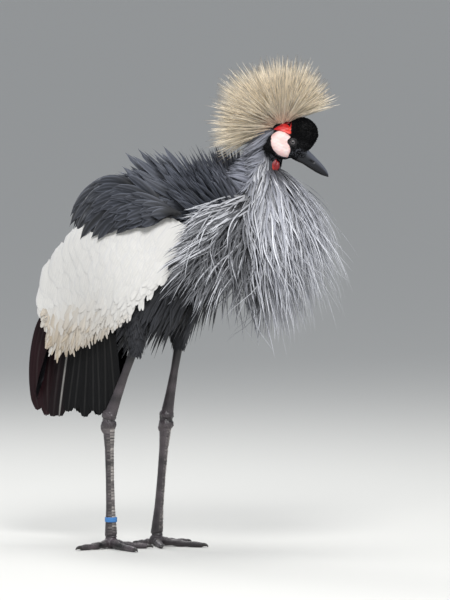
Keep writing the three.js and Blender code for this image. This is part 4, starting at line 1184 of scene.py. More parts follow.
# Raised spiky plumes of the nape.
NAPE_UP = (0, 0.35, 0.6, 0.95)
rng = random_of(95)
share, turn = neck_roots(0.02, 1.0, 4.2, (100, 260), rng)
roots, face, level = neck_frame(share, turn)
count = len(roots)
lean = np.interp(share, NAPE_UP, (-0.5, -0.2, -0.7, -0.95)) + rng.normal(0, 0.09, count)
rise = np.interp(share, NAPE_UP, (0.9, 0.9, 0.55, 0.1))
ways = unit(np.stack([lean, face[:, 1] * 0.45, rise + rng.normal(0, 0.08, count)], -1))
length = np.interp(share, (0, 0.25, 0.45, 0.62, 0.95), (144, 124, 90, 52, 36)) * rng.uniform(0.7, 1.05, count)
droop = rng.uniform(0, 0.2, count) + 0.1 * ease(share, 0.3, 0.6)
curl, sway = rng.uniform(-0.1, 0.14, count), rng.normal(0, 0.05, count)
half = half_widths(np.interp(share, (0.3, 0.6), (10, 4.6)) * rng.uniform(0.8, 1.2, count), 9)
ground = mix(SLATE, RUFF_GREY, ease(share, 0.22, 0.55))
feather_piece(
    "nape_plumes", free_lines(roots, ways, face, length, 9, curl=curl, droop=droop, sway=sway), face,
    half, length, unwrap(roots),
    lambda row, column: plume_colours(ground, row, column, rng, EDGE_SLATE, 0.5, 0.25),
    slate_vane, "pale_grey_plumage", columns=5, fray=0.04, shed=0.1, seed=95,
)

skin_faces = np.zeros(len(skin.data.loops), int)
skin.data.loops.foreach_get("vertex_index", skin_faces)
skin_faces = skin_faces.reshape(-1, 4)
skin_area = np.zeros(len(skin_faces))
skin.data.polygons.foreach_get("area", skin_area)
skin_area = skin_area * MM**2
skin_normals = of_vertices(skin.data, "normal")


def skin_roots(wanted, spacing, seed):
    """Points and normals strewn over the skin where wanted, about a spacing apart."""
    rng = random_of(seed)
    middles = skin_points[skin_faces].mean(1)
    chance = np.where(wanted(middles), skin_area, 0)
    count = int(chance.sum() / spacing**2)
    chosen = rng.choice(len(chance), count, p=chance / chance.sum())
    a, b = rng.random((2, count, 1))
    share = np.stack([(1 - a) * (1 - b), a * (1 - b), a * b, (1 - a) * b], 1)
    corners = skin_faces[chosen]
    return (skin_points[corners] * share).sum(1), unit((skin_normals[corners] * share).sum(1)), rng


def upper_neck(points):
    head = from_head(points)
    x, z = head[:, 0], head[:, 2]
    on_neck = (points[:, 2] > 640) & (points[:, 0] > 215) & (beside_face(head) > 1)
    over_wattle = (np.abs(x + 4) < 17) & (z > -60)
    return on_neck & (x < 22) & ~over_wattle


def hind_neck(points):
    head = from_head(points)
    x, z = head[:, 0], head[:, 2]
    on_neck = (points[:, 2] > 668) & (points[:, 0] > 215)
    return on_neck & ((x < -37) & (z < 1) | (beside_face(head) > 0.98) & (x < -22))


# Short close plumes of the upper neck, which lie down along it.
roots, face, rng = skin_roots(upper_neck, 2.6, 96)
count = len(roots)
head = from_head(roots)
away = ease(np.hypot(head[:, 0] + 14, head[:, 2] + 4), 44, 70)
down = -curve_way(NECK_LINE, np.full(count, 0.9))
ways = unit(down - face * (down * face).sum(-1, keepdims=True) + rng.normal(0, 0.16, (count, 3)))
length = (10 + 22 * away) * rng.uniform(0.7, 1.2, count)
lines = free_lines(roots, ways, face, length, 6, lift=0.16, curl=rng.uniform(-0.15, 0.1, count), sink=2)
half = half_widths(3.6 * rng.uniform(0.8, 1.2, count), 6)
ground = mix(linear("#5d5f68"), RUFF_GREY, away)
feather_piece(
    "upper_neck_plumes", lines, face, half, length, unwrap(roots),
    lambda row, column: plume_colours(ground, row, column, rng, EDGE_PALE, 0.3, 0.3, deep=0.6),
    pale_vane, "pale_grey_plumage",
)

# Short loose plumes behind the head, which lean back.
roots, face, rng = skin_roots(hind_neck, 2.0, 97)
count = len(roots)
height = ease(roots[:, 2], 680, 735)
ways = [rng.normal(-0.9, 0.08, count), face[:, 1] * 0.5, rng.normal(-0.1, 0.1, count) - 0.32 * height]
ways = unit(np.stack(ways, -1))
ways = unit(ways - face * np.minimum((ways * face).sum(-1, keepdims=True), 0) * 1.2)
length = (24 + 16 * height) * rng.uniform(0.6, 1.1, count)
droop, sway = rng.uniform(0.1, 0.35, count), rng.normal(0, 0.06, count)
lines = free_lines(roots, ways, face, length, 8, lift=0.1, droop=droop, sway=sway, sink=2)
half = half_widths(3.2 * rng.uniform(0.7, 1.2, count), 8, 0.3, 0.5)
ground = mix(linear("#686a74"), RUFF_GREY, 0.8 * rng.random(count) ** 1.5)
feather_piece(
    "hind_neck_plumes", lines, face, half, length, unwrap(roots),
    lambda row, column: plume_colours(ground, row, column, rng, EDGE_PALE, 0.12, 0.12, 0.35, 0.3),
    pale_vane, "pale_grey_plumage",
)

# Thigh plumes
# Short dark feathers of keratin that lie down the shins from under the flanks.
# They are rooted round each thigh and shin, and grow shorter downwards.
THIGH_PLUMES = 900
for name, side in SIDES.items():
    rng = random_of(100 + side)
    share = rng.random(THIGH_PLUMES)
    turn = rng.uniform(0, 2 * math.pi, THIGH_PLUMES)[:, None]
    centre, along = curve_point(THIGHS[name], share), curve_way(THIGHS[name], share)
    across = unit(np.array([0, 1, 0]) - along * along[:, 1:2])
    face = across * np.cos(turn) + np.cross(along, across) * np.sin(turn)
    roots = centre + face * value_along(THIGH_GIRTH, share)[:, None]
    ways = unit(along + face * 0.08 + rng.normal(0, 0.06, (THIGH_PLUMES, 3)))
    length = np.interp(share, (0, 1), (40, 16)) * rng.uniform(0.6, 1.15, THIGH_PLUMES)
    lines = free_lines(roots, ways, face, length, 6, lift=0.04, curl=-0.06, sink=3)
    half = half_widths(np.interp(share, (0, 1), (9, 5)), 6)
    ground = even(BELLY_BLACK, THIGH_PLUMES)
    feather_piece(
        f"thigh_plumes_{name}", lines, face, half, length, unwrap(roots),
        lambda row, column: plume_colours(ground, row, column, rng, EDGE_SLATE, 0.12, 0.05),
        slate_vane, "slate_plumage",
    )

# Crest
# Thousands of stiff straw-coloured bristles of keratin, with darker tips, that fan out behind the crown.
# Each is a fine three-sided rod that tapers and bends a little, rooted in a pad of short brown down.
PAD_LINE = [(-28, 0, 33), (-41, 0, 17), (-49, 0, -6)]
BRISTLE_COUNT = 2700
BRISTLE_ROWS, BRISTLE_SIDES = 7, 3
FAN_MIDDLE, FAN_HALF, OFF_FAN = 149, 95, 60  # degrees in the head's upright plane, and off that plane
CREST_REACH = 108
HIND_REACH, HIND_MIDDLE, HIND_SPREAD = 0.13, 176, 24  # how much longer the bristles are at the rear
GOLDEN_ANGLE = 137.508
BRISTLE = linear("#fff1d8")
BRISTLE_TIP = linear("#33291f")
BRISTLE_ROOT = linear("#ffe6cc")

rng = random_of(110)
k = np.arange(BRISTLE_COUNT)
share = np.sqrt((k + 0.5) / BRISTLE_COUNT)
turn = np.radians(k * GOLDEN_ANGLE)
in_fan = np.radians(FAN_MIDDLE + share * np.cos(turn) * FAN_HALF + rng.normal(0, 4, BRISTLE_COUNT))
off_fan = np.radians(share * np.sin(turn) * OFF_FAN + rng.normal(0, 4, BRISTLE_COUNT))
ways = np.stack([np.cos(in_fan) * np.cos(off_fan), np.sin(off_fan), np.sin(in_fan) * np.cos(off_fan)], -1)
fan_angle = np.degrees(in_fan)
roots = curve_point(PAD_LINE, (fan_angle - FAN_MIDDLE + FAN_HALF) / (2 * FAN_HALF))
stray = [rng.normal(0, 2.6, BRISTLE_COUNT), np.sin(off_fan) * 9, rng.normal(0, 2.6, BRISTLE_COUNT)]
roots = roots + np.stack(stray, -1)
length = CREST_REACH * rng.uniform(0.78, 1.03, BRISTLE_COUNT) * (1 - 0.24 * ease(fan_angle, 110, 60))
length = length * (1 + HIND_REACH * np.exp(-(((fan_angle - HIND_MIDDLE) / HIND_SPREAD) ** 2)))
t = np.linspace(0, 1, BRISTLE_ROWS)
lines = roots[:, None] + ways[:, None] * (length[:, None] * t)[..., None]
lines = in_head(lines + rng.normal(0, 4, (BRISTLE_COUNT, 1, 3)) * t[None, :, None] ** 2)
ways = ways @ HEAD_AXES.T
across = unit(np.cross(ways, rng.normal(0, 1, (BRISTLE_COUNT, 3))))
other = np.cross(ways, across)
thick = value_along([0.5, 0.64, 0.6, 0.5, 0.18], t)[None, :, None, None]
corner = np.linspace(0, 2 * math.pi, BRISTLE_SIDES, endpoint=False)[:, None]
ring = across[:, None, None] * np.cos(corner) + other[:, None, None] * np.sin(corner)
points = lines[:, :, None] + ring * thick
rod = grid_faces(BRISTLE_ROWS, BRISTLE_SIDES, around=True)
corners = many_faces(rod, BRISTLE_COUNT, BRISTLE_ROWS * BRISTLE_SIDES)
crest = make_mesh("crest_bristles", points.reshape(-1, 3), corners)
tone = mix(BRISTLE_ROOT, BRISTLE, ease(t, 0.05, 0.4))
tone = tone * (1 - 0.6 * rng.random((BRISTLE_COUNT, 1, 1)) ** 2.8)
tone = mix(tone, BRISTLE_TIP, 0.9 * ease(t, 0.8, 0.97) * (rng.random((BRISTLE_COUNT, 1)) < 0.75))
paint(crest, np.repeat(tone[:, :, None], BRISTLE_SIDES, 2))
grid = np.broadcast_arrays(np.linspace(-0.5, 0.5, BRISTLE_SIDES)[None, :], (t - 0.5)[:, None])
patch = unwrap(in_head(roots))[:, None, None] + BAKE_PATCH * np.stack(grid, -1)
lay_map(crest, "OFBake", patch, corners)

# Bristle keratin: straw-coloured and slightly glossy, darker and lighter in bands about 6 mm long.
bristle_horn, tree, surface = new_material("straw crest bristle keratin", Roughness=0.45, Sheen_Weight=0.2)
mottle(tree, surface, spots(tree, MM / 180, 2.0), 0.75, 1.25)
finish_piece(crest, bristle_horn, ["crest"])

pad_points, pad_faces = tube(PAD_LINE, [5, 9, 5], [4, 6, 4], 40, 30)
pad = make_mesh("crest_pad", in_head(pad_points), pad_faces)
paint(pad, BRISTLE_ROOT * 0.5)
finish_piece(pad, hide)

# Velvet
# Very short dense black feathers, like plush: a round cap on the forehead and a band round the bare face.
# They are tufts of 2 to 4 mm that stand out of the skin and lean back, longest on the cap.
CHEEK_OUTLINE = [
    (-39.5, -11), (-31, -24), (-19, -32), (-6, -33.5), (7.4, -29), (9.7, -24.5), (6, -13),
    (1, -7), (-6.7, -3.4), (-9, 2), (-8, 8.5), (-17, 10), (-25, 8.5), (-34.5, 2.5),
]
RED_OUTLINE = [
    (-42, -1), (-36, 0.5), (-25, 5.5), (-17, 8), (-11, 9.5), (-11, 14), (-18, 24), (-26.5, 30.5), (-36, 16),
]
EYE_ROOM = 7


def smooth_outline(outline, count):
    """A closed curve through the outline's points."""
    knots = np.asarray(outline, float)
    t = np.linspace(0, len(knots), count, endpoint=False)
    k = t.astype(int)
    return along_knots(*(knots[(k + i - 1) % len(knots)] for i in range(4)), (t % 1)[:, None])


def skull_side(x, z):
    """How far the skull's side stands off the head's middle plane, with its forms blended."""
    total = np.zeros(np.broadcast(x, z).shape)
    for (cx, _, cz), (hx, hy, hz) in SKULL:
        bulge = np.sqrt(np.clip(1 - ((x - cx) / hx) ** 2 - ((z - cz) / hz) ** 2, 0, 1))
        total = total + (hy * bulge) ** 9
    return total ** (1 / 9) - 0.6


def inside_outline(outline, x, z):
    """Whether places lie in a closed outline, by counting the edges to one side."""
    found = np.zeros(x.shape, bool)
    for (x0, z0), (x1, z1) in zip(outline, np.roll(outline, -1, 0)):
        crosses = (z0 > z) != (z1 > z)
        found ^= crosses & (x < x0 + (z - z0) * (x1 - x0) / (z1 - z0 + 1e-9))
    return found


def on_velvet(points):
    head = from_head(points)
    x, z = head[:, 0], head[:, 2]
    bare = np.zeros(len(x), bool)
    for outline in (CHEEK_OUTLINE, RED_OUTLINE):
        edge = smooth_outline(outline, 70)
        bare |= inside_outline(edge.mean(0) + (edge - edge.mean(0)) * 0.97, x, z)
    bare = bare & (np.abs(head[:, 1]) > 6) | (np.hypot(x, z - 2) < EYE_ROOM)
    return (points[:, 2] > 655) & (points[:, 0] > 255) & (beside_face(head) < 1.03) & ~bare


velvet_plush = feather_material("black velvet feather keratin", 0.2, 0.8, sheen=0.04, gloss=0.08)
roots, face, rng = skin_roots(on_velvet, 1.1, 120)
head = from_head(roots)
count = len(roots)
on_cap = ease(head[:, 2] - 0.3 * head[:, 0], 4, 16) * ease(head[:, 0], -22, -12)
back = np.array([-0.5, 0, -0.4]) @ HEAD_AXES.T
ways = unit(face * (0.35 + 1.1 * on_cap)[:, None] + back + rng.normal(0, 0.22, (count, 3)))
length = (2.1 + 1.5 * on_cap) * rng.uniform(0.7, 1.1, count)
lines = free_lines(roots, ways, face, length, 4, sink=1.0, curl=-0.1)
aside = unit(np.cross(ways, rng.normal(0, 1, (count, 3))))
half = half_widths(1.5 + 0.5 * on_cap, 4, 0.4, 0.7)
ground = even(FACE_BLACK, count)
feather_piece(
    "velvet_tufts", lines, np.cross(aside, ways), half, length, unwrap(roots),
    lambda row, column: plume_colours(ground, row, column, rng, linear("#2a2b30"), 0.05, 0.06, deep=0.6),
    velvet_plush, "black_velvet",
)

# Bare face
# White and red patches of bare skin on each side of the head, slightly puffed and finely wrinkled.
# They are raised skins over the skull's sides, tucked under the velvet at their edges.
CHEEK_WHITE = linear("#f3e6e2")
CHEEK_PINK = linear("#dc9c97")
SKIN_RED = linear("#c01f22")
SKIN_RED_DEEP = linear("#7c1218")
SKIN_RED_BRIGHT = linear("#e4402f")


def bare_skin(name, wrinkle, rough=0.5):
    """Bare skin: soft, faintly moist, with light under its surface and fine wrinkles of a size in mm."""
    soft = {"Subsurface_Weight": 0.12, "Subsurface_Scale": 0.003}
    material, tree, surface = new_material(name, Roughness=rough, **soft)
    mottle(tree, surface, spots(tree, MM / 220, 3.0), 0.88, 1.1)
    emboss(tree, surface, scales(tree, wrinkle), 0.3, 0.6)
    return material


def waves(x, z, seed, scale=1.0):
    """Smooth random waves between about -1 and 1."""
    rng = random_of(seed)
    total = 0.0
    for k in range(6):
        angle, pitch, phase = rng.uniform(0, 2 * math.pi), rng.uniform(5, 13), rng.uniform(0, 2 * math.pi)
        along = (np.cos(angle) * x + np.sin(angle) * z) / (pitch * scale)
        total = total + np.sin(along * 2 * math.pi + phase)
    return total / 3


def face_patch(name, side, outline, rise, material, colour_of, replaced):
    rings, count = 26, 110
    edge = smooth_outline(outline, count)
    centre = edge.mean(0)
    r = np.linspace(0.0001, 1, rings)[:, None] ** 0.8
    x, z = (centre[k] + (edge[:, k] - centre[k]) * r for k in (0, 1))
    puff = rise * (1 - r**6) - 1.6 * r**14
    y = side * (skull_side(x, z) + puff + 0.35 * waves(x, z, 5) * (1 - r**8))
    grid = in_head(np.stack([x, y, z], -1).reshape(-1, 3))
    piece = make_mesh(name, grid, grid_faces(rings, count, around=True))
    paint(piece, colour_of(x, z, r))
    finish_piece(piece, material, replaced)


def cheek_colour(x, z, r):
    pink = 0.2 + 0.25 * ease(waves(x, z, 7, 2.2), -0.3, 1.0) + 0.3 * ease(r, 0.6, 1.0) + 0.25 * ease(z, 0, 10)
    tone = mix(CHEEK_WHITE, CHEEK_PINK, np.clip(pink, 0, 1))
    return mix(tone, SKIN_RED, ease(r, 0.93, 0.99) * ease(-z - 0.4 * x, 8, 26))


def red_colour(x, z, r):
    tone = mix(SKIN_RED, SKIN_RED_DEEP, 0.6 * ease(waves(x, z, 9), 0.0, 1.0))
    return mix(tone, SKIN_RED_BRIGHT, 0.7 * ease(x - 0.6 * z, -36, -26))


white_skin = bare_skin("white facial skin", 1.2)
red_skin = bare_skin("red facial skin", 1.0, 0.4)
for name, side in SIDES.items():
    face_patch(
        f"cheek_skin_{name}", side, CHEEK_OUTLINE, 1.5,
        white_skin, cheek_colour, [f"cheek_{name}"],
    )
    face_patch(
        f"crown_skin_{name}", side, RED_OUTLINE, 1.1,
        red_skin, red_colour, [f"red_patch_{name}"],
    )

# Wattle
# Two small soft folds of red skin under the chin, ribbed lengthwise, brighter along the lower edge.
# Each is a ball pressed flat and narrowed above, set into the throat.
WATTLE_HALF = (13, 3.4, 10)
folds = []
for side in SIDES.values():
    points, faces = ball((0, 0, 0), (1, 1, 1), 72, 48)
    x, z = points[:, 0], points[:, 2]
    rib = 1 + 0.045 * np.sin(x * 11 + 2 * z) + 0.04 * waves(x * 9, z * 9, 11)
    taper = 1 - 0.25 * np.maximum(z, 0)
    shape = np.stack([rib * taper, rib * taper, rib], -1)
    folds.append((points * WATTLE_HALF * shape + (-5.5, side * 2, -51.5), faces))
points, faces = joined(folds)
wattle = make_mesh("wattle_folds", in_head(points), faces)
paint(wattle, mix(SKIN_RED_DEEP, SKIN_RED_BRIGHT, ease(-points[:, 2] - 0.6 * points[:, 0], 52, 63)))
finish_piece(wattle, red_skin, ["wattle"])

# Eyes
# Wet dark pupil, dark grey iris under a clear bulging front, in a thick rim of black lids.
# Each eye is a ball set in the skull, and the lid is a ring of skin over its edge.
EYE_RADIUS, EYE_SIDE, EYE_HEIGHT = 6.2, 15, 2
IRIS, PUPIL = 4.0, 2.3
IRIS_GREY = linear("#5a5456")
IRIS_DEEP = linear("#2a2728")
IRIS_RAYS = 46
LID_RINGS, LID_COUNT = 18, 96

# Wet eye surface: very smooth under a clear coat, with specks of 1 mm in the iris.
eye_wet, tree, surface = new_material("wet eye", Roughness=0.12, Coat_Weight=0.5, Coat_Roughness=0.03)
mottle(tree, surface, spots(tree, MM / 900, 2.0), 0.8, 1.2)
lid_skin = bare_skin("black eyelid skin", 0.7, 0.45)

for name, side in SIDES.items():
    points, faces = ball((0, 0, 0), (1, 1, 1), 96, 90)
    points = points[:, (0, 2, 1)] * (1, side, 1)
    x, z = points[:, 0], points[:, 2]
    away = np.hypot(x, z) * EYE_RADIUS
    front = points[:, 1] * side > 0
    bulge = 1 + 0.035 * ease(away, IRIS + 0.3, 1.5) * front
    placed = in_head(points * EYE_RADIUS * bulge[:, None] + (0, side * EYE_SIDE, EYE_HEIGHT))
    eye = make_mesh(f"eyeball_{name}", placed, faces)
    rays = 0.5 + 0.5 * np.sin(np.arctan2(z, x) * IRIS_RAYS)
    iris = mix(IRIS_GREY, IRIS_DEEP, np.clip(0.3 * rays + 0.6 * ease(away, 3.4, 4.4), 0, 1))
    dark = ease(away, IRIS - 0.1, IRIS + 0.2) + ease(away, PUPIL + 0.15, PUPIL - 0.15) + ~front
    paint(eye, mix(iris, FACE_BLACK, np.clip(dark, 0, 1)))
    finish_piece(eye, eye_wet, [f"eye_{name}"])

    r = np.linspace(0, 1, LID_RINGS)[:, None]
    angle = np.linspace(0, 2 * math.pi, LID_COUNT, endpoint=False)[None]
    inner = 4.3 - 0.35 * np.abs(np.sin(angle)) ** 1.5
    outer = 9.2 + 0.5 * np.cos(angle)
    reach = inner + (outer - inner) * r
    x, z = reach * np.cos(angle), EYE_HEIGHT + reach * np.sin(angle)
    on_skull = ease(r, 0.1, 0.5)
    ball_top = EYE_SIDE + np.sqrt(np.maximum(EYE_RADIUS**2 - reach**2, 0))
    rim = ball_top * (1 - on_skull) + (skull_side(x, z) + 0.2) * on_skull
    y = side * (rim + 1.15 * np.sin(np.pi * np.clip(r * 1.35, 0, 1)) ** 0.8 - 1.2 * r**4)
    placed = in_head(np.stack([x, y, z], -1).reshape(-1, 3))
    lid = make_mesh(f"eyelid_{name}", placed, grid_faces(LID_RINGS, LID_COUNT, around=True))
    paint(lid, FACE_BLACK * 1.4)
    finish_piece(lid, lid_skin)

# Bill
# Smooth dark horn in two halves that meet along a straight mouth, with a slot of a nostril in each side.
# Each half is lofted from the face to the tip: a ridged upper half and a plain lower one.
BILL_BACK, BILL_END = 23.0, 84.6
BILL_TOP = [(23, 6), (31, 4.8), (45, 2.6), (59, 0.2), (68, -1.9), (76, -4.6), (81.5, -7.8), (84.6, -11.2)]
BILL_FOOT = [(23, -23), (35, -20.2), (50, -19.4), (62, -18.6), (74, -16.4), (84.6, -12.6)]
BILL_HALF = [(23, 11.4), (34, 9.6), (46, 7.8), (60, 5.6), (72, 3.9), (80, 2.5), (84.6, 0.8)]
BILL_ROWS, BILL_COLUMNS = 110, 84
MOUTH_GAP = 0.15  # from each half's edge to the mouth's line
NOSTRIL_PLACE, NOSTRIL_HALF = (46, -6.4), (4.4, 1.5)
HORN_GREY_AND_HIGHLIGHT = linear("#50535c")
HORN_BLACK = linear("#101012")

# Dark horn: smooth with a faint dull gloss, clouded and lightly pitted at 2.4 mm.
horn = {"Coat_Weight": 0.06, "Coat_Roughness": 0.25, "Specular_IOR_Level": 0.25}
bill_horn, tree, surface = new_material("dark bill horn", Roughness=0.38, **horn)
grain = spots(tree, MM / 420, 4.0)
mottle(tree, surface, grain, 0.8, 1.2)
emboss(tree, surface, grain, 0.25, 0.4)

x = np.linspace(BILL_BACK, BILL_END, BILL_ROWS)[:, None]
top, foot, half_width = (np.interp(x, *np.array(table).T) for table in (BILL_TOP, BILL_FOOT, BILL_HALF))
mouth = -17.5 + 0.09 * (x - 28) + 0.0009 * np.maximum(x - 60, 0) ** 2.2
mouth = np.clip(mouth, foot + 0.4, top - 0.4)
angle = np.linspace(-math.pi / 2, math.pi / 2, BILL_COLUMNS)[None]
for name, node, sign, other in (("bill_top", "bill_upper", 1, top), ("bill_foot", "bill_lower", -1, foot)):
    upper = sign > 0
    depth = np.abs(other - mouth) - MOUTH_GAP
    across = half_width * np.sign(np.sin(angle)) * np.abs(np.sin(angle)) ** (0.85 if upper else 0.75)
    height = depth * np.cos(angle) ** (1.1 if upper else 0.8)
    z = mouth + sign * (MOUTH_GAP + height)
    ahead = x - NOSTRIL_PLACE[0]
    above = z - NOSTRIL_PLACE[1] - 0.12 * ahead
    nostril = np.exp(-((ahead / NOSTRIL_HALF[0]) ** 4) - (above / NOSTRIL_HALF[1]) ** 2) * upper
    lip = 0.35 * np.exp(-((height / 1.3) ** 2))
    across = across * (1 - 0.3 * nostril) * (1 + lip * 0.06)
    grid = np.stack(np.broadcast_arrays(x, across, z), -1)
    inner = grid[:, ::-1] * (1, 0.96, 1)
    inner[..., 2] = mouth + sign * MOUTH_GAP
    grid = np.concatenate([grid, inner], 1).reshape(-1, 3)
    piece = make_mesh(name, in_head(grid), grid_faces(BILL_ROWS, BILL_COLUMNS * 2, around=True))
    # The upper half is painted lighter towards its ridge: partly the horn's grey, partly a painted highlight
    # along the top; towards the mouth it is black.
    ridge = 0.1 + 0.9 * ease(height / np.maximum(depth, 0.5), 0.45, 0.95)
    tone = mix(HORN_BLACK, HORN_GREY_AND_HIGHLIGHT, ridge if upper else 0.05 * ease(height, 1.5, 3))
    # Painted shade: black along the mouth's gap and in the nostril's slot, and the inner faces at the mouth
    # darker still.
    tone = mix(tone, FACE_BLACK, 0.8 * np.exp(-((height / 0.9) ** 2)))
    tone = mix(tone, FACE_BLACK, np.clip(nostril * 1.3, 0, 1))
    paint(piece, np.concatenate([tone, tone[:, ::-1] * 0.4], 1))
    finish_piece(piece, bill_horn, [node])

# Legs and feet
# Bare shins, knobbly hocks, long tarsi and splayed toes in scaly dark skin, with plates down the front.
# Each leg is melted from closed forms; plates and grooves are then pressed into it along its bones.
LEGS = {  # knee, hock, foot, and each toe's angle and length
    "right": ((32, -44, 372), (-26, -47, 226), (-22, -46), [(-112, 66), (-32, 88), (30, 62), (172, 34)]),
    "left": ((69, 42, 380), (36, 46, 223), (18, 44), [(68, 66), (5, 88), (-52, 58), (190, 34)]),
}
ANKLE_TOP = 20.0
LEG_GRAIN = 0.95  # size of the leg skin's facets
LEG_RELAX = 4
TOE_GIRTH = [8, 6, 7.3, 5.2, 6.5, 4.5, 5.5, 4.2]
PLATE = 5.4  # length of one plate
PLATE_FIRST, TARSUS_END = 12, 202
CREASE, CREASE_WAY = 1.6, np.array([0.3, 0, 1.0])
FLOOR_GAP = 0.2
LEG_DARK = linear("#2a2528")
LEG_GREY = linear("#4d4549")
PLATE_HIGHLIGHT = linear("#b9b2ac")

# Scaly leg skin: dry horn with a dull gloss, in small scales of 2.4 mm, their sunken edges darkened as
# painted shade.
dull_gloss = {"Coat_Weight": 0.15, "Coat_Roughness": 0.35}
leg_hide, tree, surface = new_material("scaly leg skin", Roughness=0.42, **dull_gloss)
scale_tone = mottle(tree, surface, scales(tree, MM / 420), 0.62, 1.1, From_Max=0.18)
emboss(tree, surface, scale_tone, 0.6, 0.5)


def toe_line(foot, angle, reach, heights):
    """Points of a toe or claw that leaves the foot at an angle, with their heights."""
    way, reach = math.radians(angle), np.array(reach)
    return np.stack([foot[0] + math.cos(way) * reach, foot[1] + math.sin(way) * reach, heights], -1)


def toe_bone(foot, angle, length):
    return toe_line(foot, angle, [0, length * 0.25, length * 0.6, length + 1], [14, 8, 5.4, 4.4])


def press_plates(points, normals, line, top, radius, last):
    """How far plates along a bone raise the skin, how much painted highlight lies on them and how much
    painted shade lies in their grooves.
    """
    bone = curve_point(line, np.linspace(0, 1, 160))
    run = np.concatenate([[0], np.cumsum(np.linalg.norm(np.diff(bone, axis=0), axis=1))])
    near, far = nearest_of(bone, points)
    facing = (normals * top).sum(-1)
    along = run[near]
    hold = ease(facing, 0.1, 0.4) * ease(far, radius + 3, radius)
    hold = hold * ease(along, PLATE_FIRST, PLATE_FIRST + 6) * ease(along, last, last - 6)
    outer = facing < 0.78
    place = along / PLATE + 0.5 * outer
    phase = place % 1
    groove = np.exp(-((np.minimum(phase, 1 - phase) / 0.1) ** 2))
    # Each plate's painted highlight is made stronger or weaker at random.
    uneven_highlight = random_of(14).uniform(0.15, 1, 400)[(place.astype(int) * 2 + outer) % 400]
    return hold * (0.45 - 0.75 * groove), hold * (1 - groove) * uneven_highlight * np.where(outer, 0.3, 1), hold * groove


for name, (knee, hock, foot, toes) in LEGS.items():
    side = SIDES[name]
    knee, hock = np.array(knee, float), np.array(hock, float)
    shin = unit(hock - knee)
    ankle = np.array([*foot, ANKLE_TOP])
    forms = [
        tube([knee - shin * 20, hock], [9, 7, 6, 7, 10], [10, 8, 7, 9, 12], 32, 40),
        ball(hock + (1, 0, 8), (13.5, 12, 11)),
        ball(hock + (0.5, 0, -8), (14, 12, 11)),
        ball(hock + (-5, 0, -14), (10, 9.5, 12)),
        tube([hock, ankle], [10, 6.2, 5.6, 5.8, 9], [12, 8.2, 7.6, 8.2, 11.5], 32, 60),
        ball((*foot, 11), (13, 11.5, 11)),
    ]
    for toe in toes:
        forms.append(tube(toe_bone(foot, *toe), TOE_GIRTH, TOE_GIRTH, 24, 40, side=(0, 0, 1)))
    leg = melted_piece(f"bare_leg_{name}", forms, LEG_GRAIN, LEG_RELAX)
    points, normals = points_of(leg.data), of_vertices(leg.data, "normal")
    x, y, z = points.T
    push, pale, dark = press_plates(points, normals, [hock, ankle], (0.94, side * 0.34, 0), 12, TARSUS_END)
    for toe in toes:
        more, toe_highlight, darker = press_plates(points, normals, toe_bone(foot, *toe), (0, 0, 1), 9, toe[1])
        push, dark = push + more, dark + darker
        pale = pale + 0.25 * toe_highlight
    from_hock = points - hock
    away = np.linalg.norm(from_hock, axis=1)
    crease = np.exp(-(((from_hock @ CREASE_WAY - 2) / CREASE) ** 2)) * ease(away, 22, 14)
    knobs = 0.5 * waves(x + y, z, 13) * ease(away, 30, 12)
    fold = np.exp(-(((z - 22 - 0.12 * (x - foot[0])) / CREASE) ** 2)) * (normals[:, 2] < 0.75)
    moved = points + normals * (push + knobs - 0.9 * crease * (normals[:, 0] > -0.4))[:, None]
    moved = moved - normals * (1.1 * fold)[:, None]
    moved[:, 2] = np.maximum(moved[:, 2], FLOOR_GAP)
    leg.data.vertices.foreach_set("co", scene_places(moved).astype(np.float32).ravel())
    leg.data.update()
    tone = mix(LEG_DARK, LEG_GREY, 0.5 + 0.5 * waves(y, z, 15, 3))
    tone = mix(tone, BELLY_BLACK, 0.8 * ease(from_hock @ -shin, 70, 125))
    # Painted highlight: pale plates down the front of the tarsus, fainter on its sides and along the toes'
    # tops.
    tone = mix(tone, PLATE_HIGHLIGHT, np.clip(0.75 * pale, 0, 1))
    # Painted shade: black in the grooves between plates, in the crease at the hock and in the fold above the
    # toes.
    tone = mix(tone, BLACK, np.clip(0.7 * dark + 0.5 * crease + 0.8 * fold, 0, 1))
    paint(leg, tone)
    finish_piece(leg, leg_hide, [f"leg_{name}", f"foot_{name}"])

# Claws
# Blunt curved claws of black horn, one at each toe's end.
# Each is a tapering tube that starts inside the toe and curves down to the floor.
CLAW_BACK, CLAW_LENGTH = 2, 12
CLAW_HEIGHTS = [4.6, 5.2, 4.2, 1.6]

# Claw horn: smooth, slightly glossy and streaked with a 2 mm grain across its height.
claw_horn, tree, surface = new_material("black claw horn", Roughness=0.32, Coat_Weight=0.2)
grain = spots(tree, 2.0, 3.0, stretch=(1, 1, 3))
mottle(tree, surface, grain, 0.6, 1.5, linear("#2b2826"))
emboss(tree, surface, grain, 0.3, 0.3)
for name, (_, _, foot, toes) in LEGS.items():
    for order, (angle, length) in enumerate(toes, 1):
        reach = [length - CLAW_BACK, length + 4, length + 9, length + CLAW_LENGTH]
        line = toe_line(foot, angle, reach, CLAW_HEIGHTS)
        widths, depths = [3.4, 3.4, 2.8, 1.9, 0.5], [2.8, 2.8, 2.3, 1.6, 0.5]
        points, faces = tube(line, widths, depths, 20, 26, side=(0, 0, 1))
        points[:, 2] = np.maximum(points[:, 2], FLOOR_GAP)
        claw = make_mesh(f"claw_{name}_toe_{order}", points, faces)
        finish_piece(claw, claw_horn, [f"claw_{name}_{order}"])

